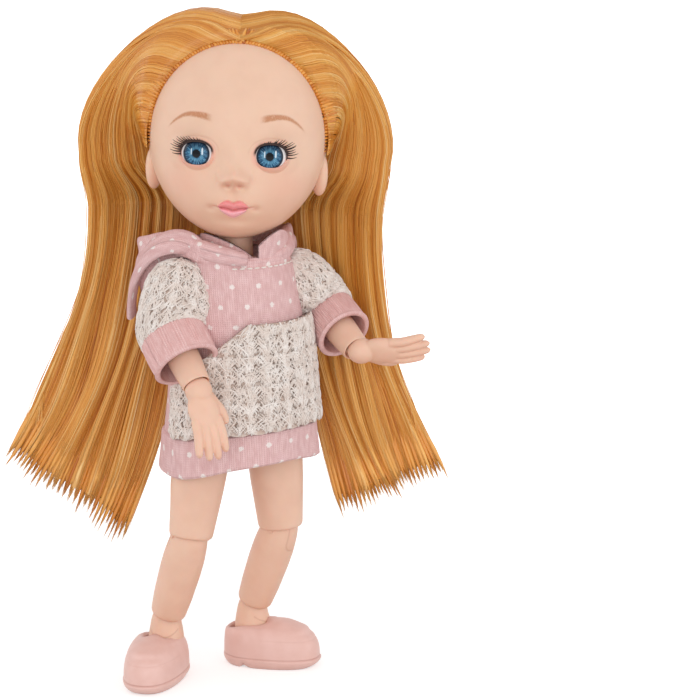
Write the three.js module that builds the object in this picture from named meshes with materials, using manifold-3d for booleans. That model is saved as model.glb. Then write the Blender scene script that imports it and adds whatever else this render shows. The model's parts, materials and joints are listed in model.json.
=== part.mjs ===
// A small jointed baby doll that stands in a knitted, hooded dress and moulded slip-on shoes.
// Millimetres and degrees. +Z is up, the chest faces -Y and the doll's left side is +X.
import * as THREE from 'three';
import { mergeVertices } from 'three/addons/utils/BufferGeometryUtils.js';
import Module from 'manifold-3d';

const wasm = await Module();
wasm.setup();

// Fits
const CLEARANCE = 0.3; // between hard pieces that touch or turn on each other
const CLOTH_GAP = 0.4; // between cloth and what it lies on
const RELIEF_EASE = 2.2; // room above a bent knee or elbow

// Leg, from the hip centre to the floor
const THIGH_LENGTH = 27; // hip centre to knee pin
const SHIN_LENGTH = 24; // knee pin to ankle centre
const ANKLE_HEIGHT = 13.9; // ankle centre above the floor
const THIGH_TOP_RADIUS = 5.7;
const THIGH_RADIUS = 6.1;
const KNEE_RIM_RADIUS = 5;
const KNEE_BALL_RADIUS = 4;
const KNEE_PIN_RADIUS = 0.8;
const CALF_RADIUS = 4.45;
const SHIN_END_RADIUS = 3.6;
const ANKLE_DOME_RADIUS = 3.1;
const ANKLE_BALL_RADIUS = 2.4;
const ANKLE_POST_RADIUS = 1;
const ANKLE_POST_LENGTH = 8;
const ANKLE_RIM_RISE = 1.6; // shin rim above the ankle centre
const HIP_BALL_RADIUS = 3.2;
const HIP_POST_RADIUS = 1.5;

// Foot and shoe
const FOOT_LENGTH = 20.4;
const FOOT_WIDTH = 9.8;
const FOOT_THICKNESS = 6.6;
const FOOT_FORWARD = 4.6; // middle of the foot ahead of the ankle
const FOOT_COLUMN_RADIUS = 4.1;
const SHOE_WIDTH = 14.8;
const SHOE_HEIGHT = 12.2;
const SHOE_TOE_REACH = 17.3; // toe ahead of the ankle
const SHOE_HEEL_REACH = 6.9; // heel behind the ankle
const SHOE_HEEL_RIM = 8.4; // rim height at the heel
const SHOE_VAMP_RIM = 12; // rim height over the instep
const SHOE_VAMP_REACH = 5.6; // front of the opening ahead of the ankle
const SOLE_THICKNESS = 2.3;

// Arm
const UPPER_ARM_LENGTH = 12; // shoulder centre to elbow pin
const FOREARM_LENGTH = 15.5; // elbow pin to wrist centre
const SHOULDER_DOME_RADIUS = 4.6;
const ELBOW_RIM_RADIUS = 4.2;
const ELBOW_BALL_RADIUS = 3.2;
const ELBOW_PIN_RADIUS = 0.7;
const FOREARM_RADIUS = 3.75;
const FOREARM_END_RADIUS = 3.25;
const WRIST_DOME_RADIUS = 2.9;
const WRIST_BALL_RADIUS = 1.9;
const WRIST_POST_RADIUS = 0.9;
const WRIST_POST_LENGTH = 6;
const WRIST_RIM_RISE = 1.5; // forearm rim before the wrist centre
const SHOULDER_BALL_RADIUS = 3;
const SHOULDER_POST_RADIUS = 1.5;
const SHOULDER_POST_REACH = 2.6; // post end inside the chest wall
const SHOULDER_FLANGE_RADIUS = 2.2;
const SHOULDER_FLANGE_THICKNESS = 1.2;

// Hand
const PALM_LENGTH = 10.2;
const PALM_WIDTH = 7.8;
const PALM_THICKNESS = 4;
const FINGER_LENGTH = 8.6;
const FINGER_RADIUS = 1.05;
const THUMB_LENGTH = 6.4;
const THUMB_RADIUS = 1.25;
const FINGER_CURL = 1.3; // fingertips ahead of the palm's middle
const KNUCKLE_INSET = 1.2; // finger roots inside the palm
const THUMB_ROOT = 4.2; // thumb root from the wrist

// Torso, measured up from the hip centres
const CROTCH_HALF_WIDTH = 2.6;
const CROTCH_DROP = 3.6;
const CROTCH_HALF_DEPTH = 4;
const PELVIS_HALF_WIDTH = 11;
const PELVIS_HALF_DEPTH = 8;
const WAIST_HALF_WIDTH = 9.4;
const WAIST_HALF_DEPTH = 7;
const CHEST_HALF_WIDTH = 10.3;
const CHEST_HALF_DEPTH = 7.2;
const SHOULDER_HEIGHT = 34;
const NECK_RISE = 5; // neck base above the shoulders
const WAIST_RISE = 8; // waist above the torso's lower edge
const CHEST_DROP = 8; // full chest below the shoulders
const SHOULDER_EDGE_DROP = 2; // edge of the shoulders below the neck base
const SHOULDER_EDGE_INSET = 1.8;
const COLLAR_INSET = 4.8;
const COLLAR_DEPTH_INSET = 2;
const TORSO_WALL = 1.6;

// Neck
const NECK_SETBACK = 1; // neck axis behind the middle of the chest
const NECK_RADIUS = 4;
const NECK_STEM_RADIUS = 2.6;
const NECK_FLANGE_RADIUS = 3.3;
const NECK_FLANGE_THICKNESS = 1.4;
const NECK_LENGTH = 10.4; // neck base to the ball's centre
const NECK_BALL_RADIUS = 5;
const NECK_WAIST_RADIUS = 3;
const NECK_GROOVE = 1; // groove between the neck and its ball

// Head, measured from the middle of the face
const HEAD_HALF_WIDTH = 20.8;
const HEAD_FRONT = 19.5;
const HEAD_BACK = 23.5;
const HEAD_UP = 26.5;
const HEAD_DOWN = 24.2;
const FACE_POWER = 2.7; // above 2, the lower face is fuller than an ellipse seen from the side
const HEAD_WALL = 2.4;
const NECK_SOCKET_WALL = 1.8;
const SOCKET_DEPTH = 6.2; // cone that lets the head nod
const SOCKET_MOUTH_RADIUS = 7.4;
const NECK_SINK = 5.2; // underside of the head below the neck ball's centre
const EYE_HALF_SPAN = 8.3;
const EYE_DROP = 3.8;
const EYE_HALF_WIDTH = 4.3;
const EYE_HALF_HEIGHT = 4;
const EYE_HALF_DEPTH = 2.3;
const EYE_SINK = 1.6; // eye centre behind the face
const EYE_TURN = 20;
const NOSE_DROP = 8;
const NOSE_RADIUS = 2.4;
const MOUTH_DROP = 15.4;
const MOUTH_HALF_WIDTH = 4.8;
const LIP_HALF_DEPTH = 1.8;
const LIP_HALF_HEIGHT = 1.9;
const EAR_HALF_HEIGHT = 5.2;
const EAR_HALF_DEPTH = 3.2;
const EAR_THICKNESS = 2.2;
const EAR_DROP = 8.2;
const EAR_SETBACK = 0.6;

// Hair
const HAIR_CROWN_THICKNESS = 3.9;
const HAIR_SIDE_THICKNESS = 15.6;
const HAIR_BACK_THICKNESS = 5.2;
const HAIR_FRONT_THICKNESS = 1.6;
const HAIR_VOLUME_DROP = 4; // widest level below the middle of the face
const HAIR_VOLUME_DOWN = 46;
const HAIRLINE_TOP = 23; // front hairline above the middle of the face
const HAIRLINE_TOP_REACH = 17.2;
const HAIRLINE_SIDE = 7; // side hairline below the middle of the face
const HAIRLINE_SIDE_SETBACK = 6.5;
const HAIR_CAP_BASE = 19; // lower edge of the cap below the middle of the face
const HAIR_TIP_THINNING = 0.52;

// Long hair: each edge as [sideways, behind the head's back, above the cap's lower edge]
const RIGHT_HAIR = {
  inner: { root: [-9.5, 0, 0], pull: [-11.5, -1, -42], tip: [-28, -2.5, -83] },
  outer: { root: [-33, -16, 0], pull: [-34.5, -4, -30], tip: [-56.5, -2.5, -64] },
  halfDepth: 5,
  bow: 5.6,
};
const LEFT_HAIR = {
  inner: { root: [9.7, 0, 0], pull: [13.8, 4.5, -38], tip: [29, -0.5, -75] },
  outer: { root: [33, -16, 0], pull: [31.5, 5, -30], tip: [50.5, 0.5, -66] },
  halfDepth: 4.4,
  bow: 5.6,
};
const BACK_HAIR = {
  inner: { root: [-9, 0.4, 0], pull: [-15, 4, -27], tip: [-12, 0.5, -54] },
  outer: { root: [9, 0.4, 0], pull: [13.5, 4, -27], tip: [12, 0.5, -54] },
  halfDepth: 3.4,
  bow: 0,
};

// Dress, measured up from the hip centres
const HEM_DROP = 7.2;
const HEM_BAND_HEIGHT = 8;
const SKIRT_TOP = 7.2;
const NECKLINE_RISE = 1.6; // neckline above the neck base
const DRESS_WAIST = 17;
const BUST_DROP = 10.5; // below the shoulder centres
const ARMPIT_DROP = 6;
const YOKE_HALF_HEIGHT = 2; // yoke above and below the shoulder centres
const HEM_EASE = 8.4; // each ease is the cloth's outer face beyond the body
const HEM_DEPTH_EASE = 7.8;
const SKIRT_EASE = 7.4;
const SKIRT_DEPTH_EASE = 6.8;
const WAIST_EASE = 8;
const WAIST_DEPTH_EASE = 7.2;
const BUST_EASE = 5.5;
const BUST_DEPTH_EASE = 6.2;
const ARMPIT_EASE = 2.4;
const ARMPIT_DEPTH_EASE = 5;
const YOKE_EASE = 2;
const YOKE_DEPTH_EASE = 4;
const YOKE_TOP_EASE = 1.4;
const YOKE_TOP_DEPTH = 3;
const NECKLINE_EASE = 3.6;
const DRESS_THICKNESS = 1;
const ARMHOLE_EASE = 1.8; // armhole edge beyond the arm's round top
const HEM_THICKNESS = 1.6;
const DRESS_SLANT = 0.06; // rise of the hem towards the left side
const FOLD_COUNT = 6;
const FOLD_DEPTH = 0.45;
const POCKET_BASE = 1.1;
const POCKET_SHOULDER = 11;
const POCKET_TOP = 26;
const POCKET_SIDE_ANGLE = 82; // pocket edges below its two slanted openings
const POCKET_RIGHT_ANGLE = 14; // upper corners, because the dress sits turned to the left
const POCKET_LEFT_ANGLE = 64;
const POCKET_THICKNESS = 0.9;
const STRIP_BASE = 10;
const STRIP_TOP = 26;
const STRIP_HALF_ANGLE = 9;
const STRIP_THICKNESS = 0.7;
// The hood's middle line from the throat round the left side to the back, with the half sizes of its roll
const HOOD_STATIONS = [
  { x: 0, y: -10.8, rise: 1.8, halfThickness: 1.4, halfHeight: 2.4 },
  { x: 8.8, y: -8.4, rise: 2.4, halfThickness: 1.7, halfHeight: 2.5 },
  { x: 13.8, y: 0, rise: 3, halfThickness: 2.3, halfHeight: 2.3 },
  { x: 15.6, y: 11, rise: -2.6, halfThickness: 3, halfHeight: 5.6 },
  { x: 0, y: 15.6, rise: -6.5, halfThickness: 3, halfHeight: 9 },
];
const SLEEVE_TOP_RADIUS = 6.4;
const SLEEVE_RADIUS = 7.4;
const SLEEVE_THICKNESS = 1.1;
const SLEEVE_TOP_REACH = 2.5; // sleeve head above the shoulder centre
const CUFF_RADIUS = 7.6;
const CUFF_LENGTH = 9.5; // cuff edge from the elbow
const CUFF_THICKNESS = 1.7;

// Standing pose
const RIGHT_LEG = { swing: 0, spread: 9.6, turnout: 6, heading: 40 };
const LEFT_LEG = { swing: 1, spread: 4.2, turnout: 30, heading: 45 };
const RIGHT_KNEE_BEND = 20; // the left knee bends until both soles are level
const RIGHT_ARM = { swing: 28, raise: 21, twist: 55, bend: 32, wristTurn: -55, wristBend: 21 };
const LEFT_ARM = { swing: 1, raise: 39.5, twist: -15, bend: 62.5, wristTurn: -67, wristBend: 58 };
const HEAD_TURN = -27;
const HEAD_NOD = -4;
const HEAD_TILT = 2.5;

// Ranges that the openings of the joints allow
const RAISE_SLOT = [-20, 112];
const SPREAD_SLOT = [-34, 60];
const WRIST_SLOT = 96;
const ANKLE_CONE = 58;

const SKIN = new THREE.MeshStandardMaterial({ color: 0xf3c3a2, roughness: 0.5 });
const INNER_PLASTIC = new THREE.MeshStandardMaterial({ color: 0xe9b593, roughness: 0.5 });
const EYE = new THREE.MeshStandardMaterial({ color: 0x2f6f9f, roughness: 0.1 });
const HAIR = new THREE.MeshStandardMaterial({ color: 0xdfa25c, roughness: 0.4 });
const PINK_KNIT = new THREE.MeshStandardMaterial({ color: 0xdfa5a2, roughness: 0.95 });
const CREAM_KNIT = new THREE.MeshStandardMaterial({ color: 0xdcd2c4, roughness: 0.95 });
const SHOE_VINYL = new THREE.MeshStandardMaterial({ color: 0xe3a29c, roughness: 0.55 });

const LIMB_SIDES = 12;
const BALL_ROWS = 8;
const HOLE_SIDES = 8;
const TRIM_SIDES = 8;
const TRIM_ROWS = 6;
const PEG_SIDES = 10;
const HEAD_SIDES = 22;
const HEAD_ROWS = 14;
const INNER_HEAD_SIDES = 14;
const INNER_HEAD_ROWS = 10;
const HAIR_SIDES = 14;
const HAIR_ROWS = 6;
const DRESS_SIDES = 24;
const PANEL_COLUMNS = 12;
const SHOE_SIDES = 24;
const SLEEVE_SIDES = 14;
const HOOD_SIDES = 10;
const HOOD_STEPS = 24;
const CUTTER = 120; // size of a cutting block, larger than any piece
const radians = THREE.MathUtils.degToRad;

// A geometry with shared corners, no empty triangles and its faces pointing out
function closed(geometry) {
  const bare = new THREE.BufferGeometry();
  bare.setAttribute('position', geometry.getAttribute('position').clone());
  bare.setIndex(geometry.index ? geometry.index.clone() : null);
  const merged = mergeVertices(bare, 1e-4);
  const position = merged.getAttribute('position');
  const index = merged.index.array;
  const triangles = [];
  const corners = [new THREE.Vector3(), new THREE.Vector3(), new THREE.Vector3()];
  let volume = 0;
  for (let i = 0; i < index.length; i += 3) {
    const [a, b, c] = [index[i], index[i + 1], index[i + 2]];
    if (a === b || b === c || c === a) continue;
    triangles.push(a, b, c);
    corners.forEach((corner, k) => corner.fromBufferAttribute(position, index[i + k]));
    volume += corners[0].dot(corners[1].cross(corners[2]));
  }
  merged.setIndex(volume < 0 ? triangles.reverse() : triangles);
  return merged;
}

function solid(geometry) {
  const shape = closed(geometry);
  const vertProperties = new Float32Array(shape.getAttribute('position').array);
  const triVerts = new Uint32Array(shape.index.array);
  return new wasm.Manifold(new wasm.Mesh({ numProp: 3, vertProperties, triVerts }));
}

function fromSolid(body) {
  const mesh = body.getMesh();
  const geometry = new THREE.BufferGeometry();
  geometry.setAttribute('position', new THREE.BufferAttribute(new Float32Array(mesh.vertProperties), 3));
  geometry.setIndex(new THREE.BufferAttribute(new Uint32Array(mesh.triVerts), 1));
  return geometry;
}

const join = (first, ...others) => fromSolid(others.reduce((body, g) => body.add(solid(g)), solid(first)));
const cut = (first, ...tools) => fromSolid(tools.reduce((body, g) => body.subtract(solid(g)), solid(first)));
const overlap = (first, second) => fromSolid(solid(first).intersect(solid(second)));

// Basic shapes
const ball = (radius, x = 0, y = 0, z = 0) =>
  new THREE.SphereGeometry(radius, LIMB_SIDES, BALL_ROWS).rotateX(Math.PI / 2).translate(x, y, z);

const block = (width, depth, height, x, y, z) =>
  new THREE.BoxGeometry(width, depth, height).translate(x, y, z);

const ellipsoid = (rx, ry, rz, x, y, z, sides = LIMB_SIDES, rows = BALL_ROWS) =>
  new THREE.SphereGeometry(1, sides, rows).rotateX(Math.PI / 2).scale(rx, ry, rz).translate(x, y, z);

const rodAlongX = (radius, from, to, z = 0, sides = LIMB_SIDES) =>
  new THREE.CylinderGeometry(radius, radius, to - from, sides)
    .rotateZ(Math.PI / 2)
    .translate((from + to) / 2, 0, z);

const rodAlongZ = (radius, from, to, sides = LIMB_SIDES) =>
  new THREE.CylinderGeometry(radius, radius, to - from, sides)
    .rotateX(Math.PI / 2)
    .translate(0, 0, (from + to) / 2);

// A turned solid about Z from points of [radius, height]
function turned(profile, sides = LIMB_SIDES) {
  const points = profile.map(([radius, height]) => new THREE.Vector2(radius, height));
  return closed(new THREE.LatheGeometry(points, sides).rotateX(Math.PI / 2));
}

// Points of [radius, height] on a circular arc about the axis, angles measured up from the equator
function arcProfile(radius, fromAngle, toAngle, steps, height = 0) {
  return Array.from({ length: steps + 1 }, (unused, k) => {
    const angle = radians(THREE.MathUtils.lerp(fromAngle, toAngle, k / steps));
    return [Math.max(0, radius * Math.cos(angle)), height + radius * Math.sin(angle)];
  });
}

// A pie slice with its point at the origin, in the plane of X and Z, angles measured from +X to +Z
function slice(fromAngle, toAngle, reach, thickness) {
  const shape = new THREE.Shape();
  shape.moveTo(0, 0);
  shape.lineTo(reach * Math.cos(radians(fromAngle)), reach * Math.sin(radians(fromAngle)));
  shape.absarc(0, 0, reach, radians(fromAngle), radians(toAngle), false);
  shape.closePath();
  return new THREE.ExtrudeGeometry(shape, { depth: thickness, bevelEnabled: false, curveSegments: 6 })
    .translate(0, 0, -thickness / 2)
    .rotateX(Math.PI / 2);
}

// A skin over rings of points, closed end to end, or capped at both ends
function loft(rings, ringsClose = false) {
  const count = rings[0].length;
  const positions = rings.flat().flatMap((point) => point.toArray());
  const triangles = [];
  const spans = ringsClose ? rings.length : rings.length - 1;
  for (let r = 0; r < spans; r += 1) {
    const low = r * count;
    const high = ((r + 1) % rings.length) * count;
    for (let k = 0; k < count; k += 1) {
      const next = (k + 1) % count;
      triangles.push(low + k, low + next, high + next, low + k, high + next, high + k);
    }
  }
  if (!ringsClose) {
    const last = (rings.length - 1) * count;
    for (let k = 1; k < count - 1; k += 1) {
      triangles.push(0, k + 1, k, last, last + k, last + k + 1);
    }
  }
  const geometry = new THREE.BufferGeometry();
  geometry.setAttribute('position', new THREE.Float32BufferAttribute(positions, 3));
  geometry.setIndex(triangles);
  return closed(geometry);
}

// A tube wall between outer and inner rings
const wall = (outer, inner) => loft([...outer, ...[...inner].reverse()], true);

function ellipseRing(halfWidth, halfDepth, z, sides = DRESS_SIDES) {
  return Array.from({ length: sides }, (unused, k) => {
    const angle = (2 * Math.PI * k) / sides;
    return new THREE.Vector3(halfWidth * Math.sin(angle), -halfDepth * Math.cos(angle), z);
  });
}

function piece(name, geometry, material) {
  const mesh = new THREE.Mesh(closed(geometry), material);
  mesh.name = name;
  return mesh;
}

function jointFrame(name, x, y, z) {
  const frame = new THREE.Group();
  frame.name = name;
  frame.position.set(x, y, z);
  return frame;
}

// Places that several pieces share, in the torso's frame with the hip centres at height 0
const HIP_X = CROTCH_HALF_WIDTH + CLEARANCE + THIGH_TOP_RADIUS;
const PELVIS_BASE = THIGH_RADIUS + 2 * CLEARANCE;
const SHOULDER_X = CHEST_HALF_WIDTH + CLEARANCE + SHOULDER_DOME_RADIUS;
const NECK_BASE_HEIGHT = SHOULDER_HEIGHT + NECK_RISE;
const NECKLINE_HEIGHT = NECK_BASE_HEIGHT + NECKLINE_RISE;
const HEAD_RISE = HEAD_DOWN - NECK_SINK;

// Torso: a front and a rear shell that clamp the shoulder, hip and neck pegs
function torsoRings(inset) {
  const sections = [
    [PELVIS_BASE + inset, PELVIS_HALF_WIDTH, PELVIS_HALF_DEPTH],
    [PELVIS_BASE + WAIST_RISE, WAIST_HALF_WIDTH, WAIST_HALF_DEPTH],
    [SHOULDER_HEIGHT - CHEST_DROP, CHEST_HALF_WIDTH, CHEST_HALF_DEPTH],
    [SHOULDER_HEIGHT, CHEST_HALF_WIDTH, CHEST_HALF_DEPTH],
    [
      NECK_BASE_HEIGHT - SHOULDER_EDGE_DROP,
      CHEST_HALF_WIDTH - SHOULDER_EDGE_INSET,
      CHEST_HALF_DEPTH - COLLAR_DEPTH_INSET / 2,
    ],
    [NECK_BASE_HEIGHT - inset, CHEST_HALF_WIDTH - COLLAR_INSET, CHEST_HALF_DEPTH - COLLAR_DEPTH_INSET],
  ];
  return sections.map(([z, halfWidth, halfDepth]) =>
    ellipseRing(halfWidth - inset, halfDepth - inset, z, LIMB_SIDES + 4));
}

function torsoShells() {
  const outer = loft(torsoRings(0));
  const crotch = block(
    2 * CROTCH_HALF_WIDTH,
    2 * CROTCH_HALF_DEPTH,
    PELVIS_BASE + CROTCH_DROP + TORSO_WALL / 2,
    0,
    0,
    (PELVIS_BASE - CROTCH_DROP + TORSO_WALL / 2) / 2,
  );
  const shell = cut(
    join(cut(outer, loft(torsoRings(TORSO_WALL))), crotch),
    rodAlongX(SHOULDER_POST_RADIUS + CLEARANCE, -SHOULDER_X, SHOULDER_X, SHOULDER_HEIGHT),
    rodAlongX(HIP_POST_RADIUS + CLEARANCE, -HIP_X, HIP_X),
    rodAlongZ(NECK_STEM_RADIUS + CLEARANCE, NECK_BASE_HEIGHT - 2 * TORSO_WALL, NECK_BASE_HEIGHT + TORSO_WALL)
      .translate(0, NECK_SETBACK, 0),
  );
  const half = (side) => block(CUTTER, CUTTER, CUTTER, 0, (side * (CUTTER + CLEARANCE)) / 2, 0);
  return [
    piece('torso_front_shell', overlap(shell, half(-1)), SKIN),
    piece('torso_rear_shell', overlap(shell, half(1)), SKIN),
  ];
}

// Neck: a flanged stem that turns in the shells and a ball that the head snaps over
function neckKnob() {
  const flangeTop = -TORSO_WALL - CLEARANCE;
  const waistAngle = -THREE.MathUtils.radToDeg(Math.acos(NECK_WAIST_RADIUS / NECK_BALL_RADIUS));
  return turned([
    [0, flangeTop - NECK_FLANGE_THICKNESS],
    [NECK_FLANGE_RADIUS, flangeTop - NECK_FLANGE_THICKNESS],
    [NECK_FLANGE_RADIUS, flangeTop],
    [NECK_STEM_RADIUS, flangeTop],
    [NECK_STEM_RADIUS, CLEARANCE],
    [NECK_RADIUS, CLEARANCE],
    [NECK_RADIUS, NECK_LENGTH - NECK_BALL_RADIUS - NECK_GROOVE],
    ...arcProfile(NECK_BALL_RADIUS, waistAngle, 90, 6, NECK_LENGTH),
  ]);
}

// Head: a hollow vinyl shell with a neck socket, eye openings, nose, lips and ears
const fullDepth = (drop) => (1 - drop ** FACE_POWER) ** (1 / FACE_POWER);

function fullness(drop) {
  const share = THREE.MathUtils.clamp(drop, 0, 0.995);
  return fullDepth(share) / Math.sqrt(1 - share ** 2);
}

function headForm(inset, sides, rows) {
  const geometry = new THREE.SphereGeometry(1, sides, rows).rotateX(Math.PI / 2);
  const position = geometry.getAttribute('position');
  for (let i = 0; i < position.count; i += 1) {
    const front = HEAD_FRONT * fullness(-position.getZ(i));
    const depth = position.getY(i) < 0 ? front : HEAD_BACK;
    const height = position.getZ(i) < 0 ? HEAD_DOWN : HEAD_UP;
    position.setXYZ(
      i,
      position.getX(i) * (HEAD_HALF_WIDTH - inset),
      position.getY(i) * (depth - inset) - NECK_SETBACK,
      position.getZ(i) * (height - inset) + HEAD_RISE,
    );
  }
  return geometry;
}

function faceDepth(x, drop) {
  const share = drop / HEAD_DOWN;
  const halfWidth = HEAD_HALF_WIDTH * Math.sqrt(1 - share ** 2);
  return -NECK_SETBACK - HEAD_FRONT * fullDepth(share) * Math.sqrt(1 - (x / halfWidth) ** 2);
}

function eyeForm(side, grow) {
  const depth = faceDepth(EYE_HALF_SPAN, EYE_DROP) + EYE_SINK;
  return ellipsoid(EYE_HALF_WIDTH + grow, EYE_HALF_DEPTH + grow, EYE_HALF_HEIGHT + grow, 0, 0, 0)
    .rotateZ(side * radians(EYE_TURN))
    .translate(side * EYE_HALF_SPAN, depth, HEAD_RISE - EYE_DROP);
}

const earForm = (side, grow) =>
  ellipsoid(
    EAR_THICKNESS + grow,
    EAR_HALF_DEPTH + grow,
    EAR_HALF_HEIGHT + grow,
    side * (HEAD_HALF_WIDTH - EAR_THICKNESS / 2),
    EAR_SETBACK - NECK_SETBACK,
    HEAD_RISE - EAR_DROP,
    TRIM_SIDES,
    TRIM_ROWS,
  );

function headShell() {
  const outer = headForm(0, HEAD_SIDES, HEAD_ROWS);
  const socket = overlap(ball(NECK_BALL_RADIUS + CLEARANCE + NECK_SOCKET_WALL), outer);
  const hollow = join(cut(outer, headForm(HEAD_WALL, INNER_HEAD_SIDES, INNER_HEAD_ROWS)), socket);
  const nose = ellipsoid(
    NOSE_RADIUS,
    NOSE_RADIUS,
    NOSE_RADIUS,
    0,
    faceDepth(0, NOSE_DROP) + NOSE_RADIUS / 3,
    HEAD_RISE - NOSE_DROP,
    TRIM_SIDES,
    TRIM_ROWS,
  );
  const lips = ellipsoid(
    MOUTH_HALF_WIDTH,
    LIP_HALF_DEPTH,
    LIP_HALF_HEIGHT,
    0,
    faceDepth(0, MOUTH_DROP) + LIP_HALF_DEPTH / 2,
    HEAD_RISE - MOUTH_DROP,
    TRIM_SIDES,
    TRIM_ROWS,
  );
  const mouthOfSocket = new THREE.ConeGeometry(SOCKET_MOUTH_RADIUS, SOCKET_DEPTH, LIMB_SIDES)
    .rotateX(Math.PI / 2)
    .translate(0, 0, -SOCKET_DEPTH / 2);
  return cut(
    join(hollow, nose, lips, earForm(-1, 0), earForm(1, 0)),
    ball(NECK_BALL_RADIUS + CLEARANCE),
    mouthOfSocket,
    eyeForm(-1, CLEARANCE),
    eyeForm(1, CLEARANCE),
  );
}

// Hair: a rooted cap behind the hairline and three long lengths below it
function hairCap() {
  const volume = new THREE.SphereGeometry(1, HEAD_SIDES, HEAD_ROWS).rotateX(Math.PI / 2);
  const position = volume.getAttribute('position');
  const level = HEAD_RISE - HAIR_VOLUME_DROP;
  const up = HEAD_UP + HAIR_VOLUME_DROP + HAIR_CROWN_THICKNESS;
  for (let i = 0; i < position.count; i += 1) {
    const front = HEAD_FRONT + HAIR_FRONT_THICKNESS;
    const back = HEAD_BACK + HAIR_BACK_THICKNESS;
    const depth = position.getY(i) < 0 ? front : back;
    const height = position.getZ(i) < 0 ? HAIR_VOLUME_DOWN : up;
    position.setXYZ(
      i,
      position.getX(i) * (HEAD_HALF_WIDTH + HAIR_SIDE_THICKNESS),
      position.getY(i) * depth - NECK_SETBACK,
      position.getZ(i) * height + level,
    );
  }
  const top = new THREE.Vector2(-HAIRLINE_TOP_REACH - NECK_SETBACK, HEAD_RISE + HAIRLINE_TOP);
  const side = new THREE.Vector2(HAIRLINE_SIDE_SETBACK - NECK_SETBACK, HEAD_RISE - HAIRLINE_SIDE);
  const slope = Math.atan2(side.x - top.x, top.y - side.y);
  const front = block(CUTTER, CUTTER, CUTTER, 0, -CUTTER / 2, 0)
    .rotateX(slope)
    .translate(0, top.x, top.y);
  const below = block(CUTTER, CUTTER, CUTTER, 0, 0, HEAD_RISE - HAIR_CAP_BASE - CUTTER / 2);
  return cut(
    volume,
    headForm(-CLEARANCE, HEAD_SIDES, HEAD_ROWS),
    front,
    below,
    earForm(-1, CLEARANCE),
    earForm(1, CLEARANCE),
  );
}

// A hair length hangs between two edge curves, bowed round the head at its root and thin at its tips
function edgeCurve({ root, pull, tip }) {
  const below = HEAD_RISE - HAIR_CAP_BASE - CLEARANCE;
  const place = ([x, y, z]) => new THREE.Vector3(x, HEAD_BACK - NECK_SETBACK + y, below + z);
  return new THREE.QuadraticBezierCurve3(place(root), place(pull), place(tip));
}

function hairLength({ inner, outer, halfDepth, bow }) {
  const innerEdge = edgeCurve(inner);
  const outerEdge = edgeCurve(outer);
  const rings = Array.from({ length: HAIR_ROWS }, (unused, row) => {
    const down = row / (HAIR_ROWS - 1);
    const from = innerEdge.getPoint(down);
    const to = outerEdge.getPoint(down);
    const depth = halfDepth * (1 - HAIR_TIP_THINNING * down ** 3);
    return Array.from({ length: HAIR_SIDES }, (alsoUnused, k) => {
      const angle = (2 * Math.PI * k) / HAIR_SIDES;
      const across = (1 - Math.cos(angle)) / 2;
      const point = from.clone().lerp(to, across);
      point.y += depth * Math.sin(angle) + bow * (1 - down) ** 2 * Math.sin(Math.PI * across);
      return point;
    });
  });
  return loft(rings);
}

// Pegs: a ball on a post, which twists in one piece while the other piece turns on the ball
function sidePeg(ballRadius, postRadius, postLength, flangeRadius, flangeThickness) {
  const neckAngle = THREE.MathUtils.radToDeg(Math.acos(postRadius / ballRadius));
  return turned([
    ...arcProfile(ballRadius, -90, neckAngle, 5),
    [postRadius, postLength - flangeThickness],
    [flangeRadius, postLength - flangeThickness],
    [flangeRadius, postLength],
    [0, postLength],
  ], PEG_SIDES);
}

function plainPeg(ballRadius, postRadius, postLength) {
  const neckAngle = THREE.MathUtils.radToDeg(Math.acos(postRadius / ballRadius));
  return turned([
    ...arcProfile(ballRadius, -90, neckAngle, 5),
    [postRadius, postLength],
    [0, postLength],
  ], PEG_SIDES);
}

const pointInwards = (peg, side) => peg.rotateY(-side * Math.PI / 2);

const shoulderPeg = (side) =>
  pointInwards(
    sidePeg(
      SHOULDER_BALL_RADIUS,
      SHOULDER_POST_RADIUS,
      SHOULDER_X - CHEST_HALF_WIDTH + TORSO_WALL + SHOULDER_POST_REACH,
      SHOULDER_FLANGE_RADIUS,
      SHOULDER_FLANGE_THICKNESS,
    ),
    side,
  );

const hipPeg = (side) =>
  pointInwards(plainPeg(HIP_BALL_RADIUS, HIP_POST_RADIUS, HIP_X - 2 * CLEARANCE), side);

// The slot that a side post needs as the limb is raised: from the inner side towards the top
function postSlot(side, [low, high], postRadius, reach) {
  const slot = slice(low, high, reach, 2 * (postRadius + CLEARANCE));
  return side < 0 ? slot : slot.scale(-1, 1, 1);
}

const pinHole = (pinRadius, reach, z) => rodAlongX(pinRadius + CLEARANCE, -reach, reach, z, HOLE_SIDES);

// The hole up a limb's end for the post of a wrist or ankle peg
const postHole = (postRadius, postLength, limbLength) =>
  rodAlongZ(postRadius + CLEARANCE, -limbLength, postLength + CLEARANCE - limbLength, HOLE_SIDES);

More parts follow.
